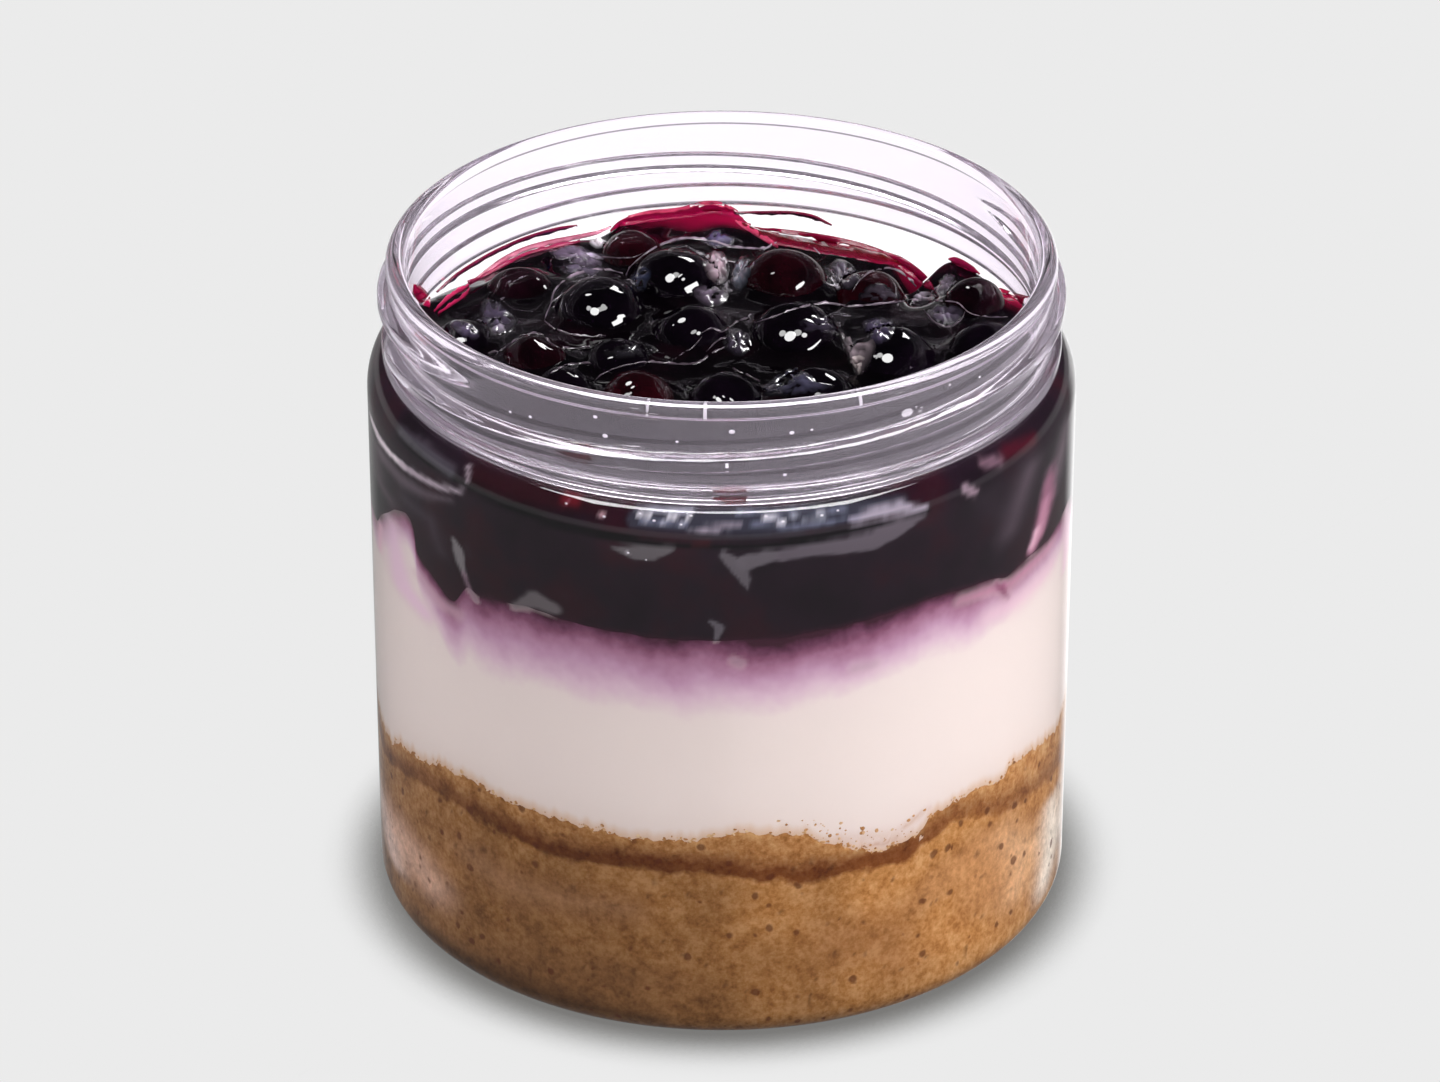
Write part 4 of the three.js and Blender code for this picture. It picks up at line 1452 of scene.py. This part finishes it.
def makeSauce():
    edge, foot = layers["behind"], layers["creamHeight"]
    shoulder, rim, into = jar["innerShoulderStart"], sauce["rim"], layers["intoPlastic"]
    rimRadius = boreAt(rim) + into
    points = [(edge * share, foot) for share in sauce["rings"]]
    points += linePoints((edge, foot), (edge, shoulder), sauce["rowHeight"])
    rise = linePoints((0, shoulder + sauce["rowHeight"]), (0, rim), sauce["rowHeight"])
    points += [(boreAt(height) + into, height) for _, height in rise]
    points += linePoints((rimRadius, rim), (0, rim), sauce["ringSpacing"])
    bm = spinProfile(points, turnSteps)
    aboveLayer = bm.verts.layers.float.new("aboveCream")
    thinLayer = bm.verts.layers.float.new("thin")
    paintLayer = bm.verts.layers.float_color.new("paint")
    strokes = readStrokes(wallMarksAndPaintedLight)
    for face in bm.faces:
        face.material_index = 1 if face.calc_center_median().z > (rim - 0.01) * mm else 0
    for vertex in bm.verts:
        azimuth, radius = polar(vertex.co)
        height = vertex.co.z / mm
        edgeHeight = edgeAt("jelly", azimuth)
        bend = min(shoulder, edgeHeight - sauce["belowEdge"])  # the side stays below a dip in the edge
        if height > rim - 0.01:
            edgeRadius = boreAt(edgeHeight) + into
            radius *= edgeRadius / rimRadius
            placeAt(vertex, azimuth, radius, jellyHeight(azimuth, radius, edgeRadius))
            vertex[thinLayer] = thinShare(azimuth, radius, edgeRadius)
        elif height > shoulder + 0.01:
            share = (height - shoulder) / (rim - shoulder)
            risen = bend + share * (edgeHeight - bend)
            placeAt(vertex, azimuth, boreAt(risen) + into, risen)
        else:
            share = (height - foot) / (shoulder - foot)
            low = creamTop(azimuth, radius) - sauce["sunk"]
            placeAt(vertex, azimuth, radius, low + share * (bend - low))
        vertex[aboveLayer] = vertex.co.z / mm - creamTop(azimuth, radius)
        vertex[paintLayer] = paintAt(strokes, azimuth, vertex.co.z / mm, colour("#170b16"))
    return finishPiece(
        "berry_jelly", bm, [makeCompoteMaterial(), makeJellyMaterial()], ["berry_sauce"]
    )


jellyPiece = makeSauce()


foodTree = treeOf(berryPieces + [jellyPiece])
detail = {
    "sink": 0.04,  # mm by which an edge dips into what carries it
    "thickness": 0.06,
    "wrinkle": 1.8,  # share of its rise by which a fold is wrinkled
    "wrinkleSize": 4.5,  # pixels of the photo
    "ridgeRise": 0.14,
    "ridgeColumns": 6,
    "patchRings": (0, 0.2, 0.4, 0.6, 0.75, 0.9, 1),
    "longest": 1.2,  # mm, an edge longer than this has slipped off what carries it and is cut
    "longestOnWall": 1.6,
}


# Point and outward normal on the berries and the jelly
def onFood(across, down):
    place, normal, _, _ = foodTree.ray_cast(*rayThrough(across, down))
    return place, normal


# A disc whose vertices carry a place in the photo's frame and a share from the middle, 0, to the edge, 1
def outlinePatch(outline):
    rim = smoothPath(outline, 6, True)
    middleAcross, middleDown = [sum(values) / len(rim) for values in zip(*rim)]
    bm = spinProfile([(share, 0) for share in detail["patchRings"]], len(rim))
    for vertex in bm.verts:
        azimuth, share = polar(vertex.co)
        across, down = rim[round(azimuth / 360 * len(rim)) % len(rim)]
        vertex.co = (
            middleAcross + share * (across - middleAcross),
            middleDown + share * (down - middleDown),
            share,
        )
    return bm


# A strip along a path of across, down and half width, that carries the same
def ribbonPatch(path):
    middle = smoothPath(path, 5)
    last = len(middle) - 1
    bm = bmesh.new()
    bmesh.ops.create_grid(bm, x_segments=last, y_segments=detail["ridgeColumns"], size=0.5)
    for vertex in bm.verts:
        place = round((vertex.co.x + 0.5) * last)
        side = 2 * vertex.co.y
        fromAcross, fromDown, _ = middle[max(place - 1, 0)]
        toAcross, toDown, _ = middle[min(place + 1, last)]
        along = Vector((toAcross - fromAcross, toDown - fromDown)).normalized()
        across, down, half = middle[place]
        half *= 0.15 + 0.85 * min(1, 5 * min(place, last - place) / last)  # narrow at both ends
        vertex.co = (across - along.y * half * side, down + along.x * half * side, abs(side))
    return bm


# Lays sheets on what the caster finds behind each point of the photo, and gives them thickness and a tint
# that turns to that of the edge from a share of the way out
def laySheets(name, sheets, caster, material, edgeTint, longest, fades=0.45):
    whole = bmesh.new()
    whole.verts.layers.float_color.new("tint")
    for number, (bm, tint, rise, wrinkled) in enumerate(sheets):
        shade = bm.verts.layers.float_color.new("tint")
        outward = bm.verts.layers.float_vector.new("outward")
        lost = []
        for vertex in bm.verts:
            across, down, share = vertex.co
            place, normal = caster(across, down)
            if place is None:
                lost.append(vertex)
                continue
            rough = noise.noise(Vector((across, down, number * 20)) / detail["wrinkleSize"]) * wrinkled
            solid = (1 - smoothStep(fades, 1, share)) * (1 + 1.5 * rough)
            vertex[shade] = [low + (high - low) * solid for low, high in zip(colour(edgeTint), colour(tint))]
            vertex[outward] = normal
            lift = rise * (1 - share * share) * (1 + detail["wrinkle"] * rough)
            vertex.co = place + normal * (lift - detail["sink"]) * mm
        bmesh.ops.delete(bm, geom=lost, context="VERTS")
        torn = [edge for edge in bm.edges if edge.calc_length() > longest * mm]
        bmesh.ops.delete(bm, geom=torn, context="EDGES")
        loose = [vertex for vertex in bm.verts if not vertex.link_faces]
        bmesh.ops.delete(bm, geom=loose, context="VERTS")
        grown = bmesh.ops.extrude_face_region(bm, geom=bm.faces[:], use_keep_orig=True)
        for part in grown["geom"]:
            if isinstance(part, bmesh.types.BMVert):
                part.co -= part[outward] * detail["thickness"] * mm
        bmesh.ops.recalc_face_normals(bm, faces=bm.faces[:])
        bm.verts.layers.float_vector.remove(outward)
        addTo(whole, bm)
    return finishPiece(name, whole, [material])


# Jelly or syrup that takes its colour from its own tint
def makeTinted(name, roughness, ior, transmission=0.0):
    material, tree, shader = newMaterial(name)
    tint = addNode(tree, "ShaderNodeAttribute", {"attribute_name": "tint"})
    tree.links.new(tint.outputs["Color"], shader.inputs["Base Color"])
    shader.inputs["Roughness"].default_value = roughness
    shader.inputs["IOR"].default_value = ior
    shader.inputs["Transmission Weight"].default_value = transmission
    return material


# Ridges of set jelly between the berries, pale lilac as a painted reflection: across, down in the photo's
# frame, half width in pixels
ridges = [
    [(626, 276, 0.8), (631, 266, 1.1), (645, 254, 1.5), (664, 243, 1.6), (686, 238, 1.6), (708, 240, 1.5),
     (729, 246, 1.3), (748, 248, 1.2), (766, 248, 1.2), (775, 243, 1.1), (791, 241, 1.1), (806, 245, 1.1),
     (820, 254, 1), (835, 274, 0.8)],
    [(544, 321, 0.8), (550, 306, 1), (554, 292, 1.1), (563, 281, 1.4), (577, 274, 1.6), (594, 270, 1.4),
     (610, 270, 1.1), (623, 274, 0.8)],
    [(544, 321, 0.8), (554, 328, 1.1), (570, 334, 1.1), (588, 336, 1), (606, 336, 0.6)],
    [(488, 354, 0.6), (501, 350, 0.9), (514, 341, 1.2), (526, 334, 1.3), (541, 334, 1.2), (552, 344, 1),
     (566, 348, 0.9), (590, 347, 0.6)],
    [(550, 374, 0.6), (564, 366, 1), (581, 363, 0.9), (592, 364, 0.6)],
    [(592, 383, 0.6), (603, 374, 0.9), (619, 367, 1), (643, 362, 1), (664, 363, 0.9), (686, 364, 1),
     (701, 361, 1.4), (710, 354, 1.4), (723, 348, 1.1), (731, 344, 0.6)],
    [(672, 361, 0.6), (683, 353, 0.9), (694, 346, 0.9), (703, 335, 0.6)],
    [(572, 257, 0.8), (584, 259, 1.1), (601, 257, 1.3), (619, 258, 1.1), (634, 257, 1), (645, 252, 0.6)],
    [(755, 323, 0.8), (773, 317, 1), (791, 310, 1.1), (810, 305, 1.2), (829, 303, 1.4), (848, 306, 1.4),
     (868, 305, 1.2), (887, 303, 1.1), (904, 301, 1.1), (923, 300, 1.4), (943, 301, 1.1), (958, 303, 0.9),
     (970, 313, 0.9), (989, 317, 0.9), (1008, 317, 0.6)],
    [(852, 292, 0.6), (862, 278, 0.9), (873, 271, 1.1), (889, 268, 1.2), (902, 273, 1.1), (914, 284, 1),
     (923, 298, 0.9)],
    [(923, 298, 0.8), (937, 288, 1.2), (948, 276, 0.6)],
    [(923, 309, 0.6), (933, 321, 1), (946, 327, 1.1), (960, 321, 1), (966, 309, 0.6)],
    [(733, 369, 0.6), (748, 375, 0.9), (760, 382, 0.6)],
    [(700, 334, 0.6), (712, 328, 1.2), (722, 332, 1), (736, 322, 1.2), (750, 318, 0.8)],
    [(706, 352, 0.6), (716, 342, 1), (724, 338, 1.2), (738, 338, 0.8)],
]
# Veils and folds of jelly, their pale and lilac-grey tints painted sheen and reflections: outline, tint, rise
sheenVeils = [
    # painted highlight on the jelly
    ([(588, 243), (594, 239), (603, 239), (609, 242), (606, 247), (596, 249)], "#f6f0f6", 0.3),
    ([
        (546, 252), (560, 245), (580, 245), (596, 252), (612, 256), (600, 262), (576, 260), (556, 260),
    ], "#6a5c70", 0.2),
    ([(572, 254), (584, 250), (600, 254), (606, 260), (590, 260), (578, 259)], "#b4a6bc", 0.2),
    ([(556, 266), (572, 262), (590, 266), (606, 272), (592, 279), (570, 277)], "#51465a", 0.2),
    ([(626, 284), (632, 272), (644, 264), (653, 272), (650, 286), (640, 293)], "#343a54", 0.15),
    ([(562, 258), (572, 253), (590, 256), (606, 262), (600, 268), (580, 268)], "#5d5064", 0.2),
    ([(476, 318), (482, 300), (494, 298), (508, 308), (518, 322), (508, 334), (488, 332)], "#453b50", 0.25),
    ([(488, 326), (497, 322), (508, 326), (506, 333), (494, 335)], "#93889a", 0.25),
    ([(446, 322), (456, 318), (470, 322), (482, 332), (478, 341), (462, 338)], "#50455c", 0.2),
    ([(702, 258), (712, 250), (724, 252), (730, 266), (727, 282), (716, 286), (706, 276)], "#c4a8b6", 0.45),
    ([(690, 292), (700, 284), (716, 286), (730, 294), (722, 306), (704, 307)], "#7c6c80", 0.3),
    ([(730, 284), (734, 264), (744, 254), (752, 262), (750, 280), (740, 292)], "#747888", 0.3),
    ([(702, 240), (712, 230), (726, 230), (736, 240), (728, 249), (710, 248)], "#463c62", 0.2),
    ([(828, 266), (838, 258), (852, 264), (862, 280), (850, 291), (836, 286)], "#5f5664", 0.3),
    ([(834, 286), (838, 283), (842, 287), (838, 291)], "#c8c0cc", 0.2),
    ([(796, 322), (812, 314), (832, 314), (842, 322), (838, 334), (816, 334), (800, 332)], "#2f2836", 0.15),
    ([(862, 322), (878, 316), (896, 322), (892, 338), (880, 346), (868, 342)], "#4e445e", 0.25),
    ([
        (838, 330), (848, 338), (857, 347), (866, 343), (878, 338), (873, 358), (859, 378), (849, 362),
        (842, 346),
    ], "#9c8c94", 0.4),
    ([(850, 358), (858, 352), (868, 356), (864, 368), (858, 377), (853, 368)], "#d8c8c8", 0.45),
    ([
        (756, 394), (766, 382), (780, 371), (796, 366), (810, 373), (820, 381), (836, 386), (818, 394),
        (784, 397),
    ], "#474459", 0.25),
    ([(926, 312), (936, 304), (954, 304), (966, 311), (958, 323), (942, 327), (932, 320)], "#62566a", 0.25),
    ([(912, 296), (920, 292), (930, 291), (936, 298), (926, 303), (916, 301)], "#b8acba", 0.3),
    ([(856, 300), (862, 288), (876, 280), (892, 286), (908, 296), (894, 302), (874, 303)], "#3c343e", 0.15),
    ([(932, 292), (938, 280), (950, 272), (958, 282), (950, 294), (940, 298)], "#5c525e", 0.25),
    ([(722, 340), (734, 328), (748, 332), (752, 348), (740, 358), (726, 352)], "#3e3644", 0.3),
    ([(600, 352), (622, 344), (648, 342), (662, 350), (640, 358), (612, 360)], "#232026", 0.15),
]


brightSheenRidges = (0, 1, 8)  # places in the list of ridges with the brighter painted reflection; the others are fainter


def showSparkles(piece, chosen):
    for number in chosen:
        sparkleReceivers[number].objects.link(piece)


def makeJellyDetails():
    ridgeSheets = [
        (ribbonPatch(path), "#8c7a8a" if place in brightSheenRidges else "#5c4e5a", detail["ridgeRise"], 1)
        for place, path in enumerate(ridges)
    ]
    ridgeJelly = makeTinted("jellyRidgePaintedSheen", 0.2, 1.4)
    piece = laySheets("jelly_ridges", ridgeSheets, onFood, ridgeJelly, "#1a141a", detail["longest"])
    showSparkles(piece, (0, 1, 2, 3))
    veilSheets = [(outlinePatch(outline), tint, rise, 1) for outline, tint, rise in sheenVeils]
    foldJelly = makeTinted("jellyFoldPaintedSheen", 0.15, 1.4)
    piece = laySheets("jelly_veils", veilSheets, onFood, foldJelly, "#070408", detail["longest"], 0.15)
    showSparkles(piece, (4,))


makeJellyDetails()


# Crimson syrup on the inside of the jar, at the back: tint, and a path of across, down and half width, in
# pixels of the photo
films = [
    ("#a51048", [(610, 231, 2), (620, 224, 4), (640, 219, 5), (665, 216, 4.5), (690, 213, 5), (706, 209, 6),
                 (720, 209, 6), (734, 215, 5), (750, 226, 3)]),
    ("#d2486e", [
        (628, 216, 1.2), (650, 212, 1.6), (680, 209, 1.6), (704, 203, 2), (722, 204, 2),
        (738, 211, 1.4),
    ]),
    ("#5e0618", [(740, 224, 5), (766, 235, 8), (798, 240, 9), (830, 246, 10), (860, 252, 9), (885, 259, 7),
                 (902, 266, 4)]),
    ("#c03a60", [(735, 221, 2), (750, 229, 3), (766, 239, 3), (778, 248, 1.6)]),
    ("#840c36", [(882, 251, 3), (900, 262, 5), (915, 273, 5.6), (926, 283, 5), (935, 291, 3)]),
    ("#2c0c1c", [(734, 212, 1), (760, 213, 1.8), (790, 213, 1.8), (812, 217, 2.2), (832, 225, 1.4)]),
    ("#4a1030", [
        (436, 292, 1.2), (457, 275, 1.8), (491, 254, 1.8), (527, 238, 1.8), (559, 229, 2),
        (577, 225, 1),
    ]),
    ("#dc8ca6", [
        (472, 281, 1.6), (498, 263, 2.4), (523, 250, 2.4), (548, 243, 2.6), (573, 238, 2.4),
        (596, 233, 2), (611, 226, 1),
    ]),
    ("#a03058", [(468, 284, 1), (500, 267, 1.6), (526, 254, 1.4), (552, 247, 1.6), (580, 242, 1.2)]),
    ("#c02a5e", [(434, 312, 1), (446, 300, 1.4), (458, 291, 1.4), (469, 286, 1.2)]),
    ("#c02a5e", [(438, 314, 1), (452, 304, 1.4), (464, 296, 1.2), (470, 289, 1)]),
    ("#b0104a", [(414, 284, 3), (419, 292, 6), (425, 300, 6), (430, 307, 3)]),
    ("#8c1440", [(949, 258, 1.4), (956, 261, 3.6), (966, 266, 3.6), (980, 274, 2)]),
    ("#a8123f", [(1000, 288, 1.6), (1016, 297, 4), (1030, 302, 6), (1038, 296, 4), (1044, 288, 2)]),
]
# Smudges of it on the inside of the neck, seen through the front: across, down, half sizes in pixels
smudges = [(577, 454, 20, 2.4), (729, 491, 16, 1.6)]
film = {
    "thickness": 0.07,
    "rise": 0.28,
    "pale": "#860e38",
    "smudge": "#4a0418",
    "lowest": 53,  # mm, the part of the wall that the camera sees through the mouth
    "highest": 70,
    "nearest": -9,
    "wrinkled": 0.5,
    "smudgeRings": (0, 0.25, 0.5, 0.75, 1),
    "smudgeSteps": 40,
    "intoPlastic": 0.03,
}


# Point and normal on the inside of the back of the jar, or on the food where that is in front
def onBackWall(across, down):
    start, way = rayThrough(across, down)
    place, normal, _, far = jarTree.ray_cast(start, way)
    if place is None or not film["lowest"] < place.z / mm < film["highest"] or place.y < film["nearest"] * mm:
        return None, None
    if normal.x * place.x + normal.y * place.y > 0:  # the outside of the plastic
        return None, None
    foodPlace, foodNormal, _, foodFar = foodTree.ray_cast(start, way)
    if foodPlace is not None and foodFar < far:
        return foodPlace, foodNormal
    return place, normal


# Thin films of red syrup left on the wall: deep crimson, pinker at the edges
def makeFilms(syrup):
    sheets = [(ribbonPatch(path), tint, film["rise"], film["wrinkled"]) for tint, path in films]
    piece = laySheets("crimson_films", sheets, onBackWall, syrup, film["pale"], detail["longestOnWall"])
    piece.visible_shadow = False


def makeSmudges(syrup):
    whole = bmesh.new()
    whole.verts.layers.float_color.new("tint")
    for number, (across, down, halfAcross, halfDown) in enumerate(smudges):
        middleAzimuth, middleHeight = behindWall(across, down)
        bm = spinProfile([(share, 0) for share in film["smudgeRings"]], film["smudgeSteps"])
        shade = bm.verts.layers.float_color.new("tint")
        for vertex in bm.verts:
            turn, share = polar(vertex.co)
            way = Vector((math.cos(math.radians(turn)), math.sin(math.radians(turn)), number))
            reach = share * (1 + 0.6 * noise.noise(way * 1.4)) / pixelsPerMm
            height = middleHeight + halfDown * reach * way.y
            azimuth = middleAzimuth + math.degrees(halfAcross * reach * way.x / boreAt(height))
            vertex[shade] = colour(film["smudge"])
            placeAt(vertex, azimuth, boreAt(height) + film["intoPlastic"], height)
        bmesh.ops.recalc_face_normals(bm, faces=bm.faces[:])
        bmesh.ops.solidify(bm, geom=bm.faces[:], thickness=film["thickness"] * mm)
        bmesh.ops.recalc_face_normals(bm, faces=bm.faces[:])
        addTo(whole, bm)
    piece = finishPiece("neck_smudges", whole, [syrup])
    piece.visible_shadow = False


thinSyrup = makeTinted("thinFruitSyrup", 0.1, 1.36, 0.3)
makeFilms(thinSyrup)
makeSmudges(thinSyrup)


# Small bubbles caught in the film on the inside of the neck and under the shoulder, pale white as a painted
# highlight: across, down and size in pixels
bubbles = [
    (595, 417, 3.5), (605, 436, 4.5), (647, 411, 2.5), (677, 442, 2.5), (732, 432, 5), (792, 433, 4),
    (510, 412, 2.5), (530, 417, 3), (705, 410, 3), (785, 475, 3), (727, 467, 3), (812, 430, 2.5),
    (860, 396, 3), (950, 385, 2.5), (980, 377, 2.5), (640, 514, 2.5), (654, 521, 3), (664, 512, 2.5),
    (681, 525, 2.5), (691, 516, 3), (766, 517, 3.5), (783, 522, 3), (822, 516, 3), (838, 511, 2.5),
    (628, 553, 2.5), (646, 560, 2), (566, 504, 2.5), (604, 517, 3),
]


bubble = {
    "flatness": 0.4,
    "breadth": 1.15,
    "height": 0.9,
    "intoPlastic": 0.02,
}


def makeBubbles():
    whole = bmesh.new()
    for across, down, size in bubbles:
        azimuth, height = behindWall(across, down)
        half = size / pixelsPerMm / 2
        turn = Matrix.Rotation(math.radians(azimuth), 4, "Z")
        place = Matrix.Translation(Vector((boreAt(height) + bubble["intoPlastic"], 0, height)) * mm)
        shape = Vector((bubble["flatness"], bubble["breadth"], bubble["height"])) * half * mm
        spread = Matrix.Diagonal((*shape, 1))
        bmesh.ops.create_uvsphere(whole, u_segments=16, v_segments=8, radius=1, matrix=turn @ place @ spread)
    material, _, shader = newMaterial("bubbleGlintWhite")  # pale white that stands in for the glints on the bubbles: painted highlight
    shader.inputs["Base Color"].default_value = colour("#f0ecf2")
    shader.inputs["Roughness"].default_value = 0.3
    finishPiece("bubbles", whole, [material])


makeBubbles()
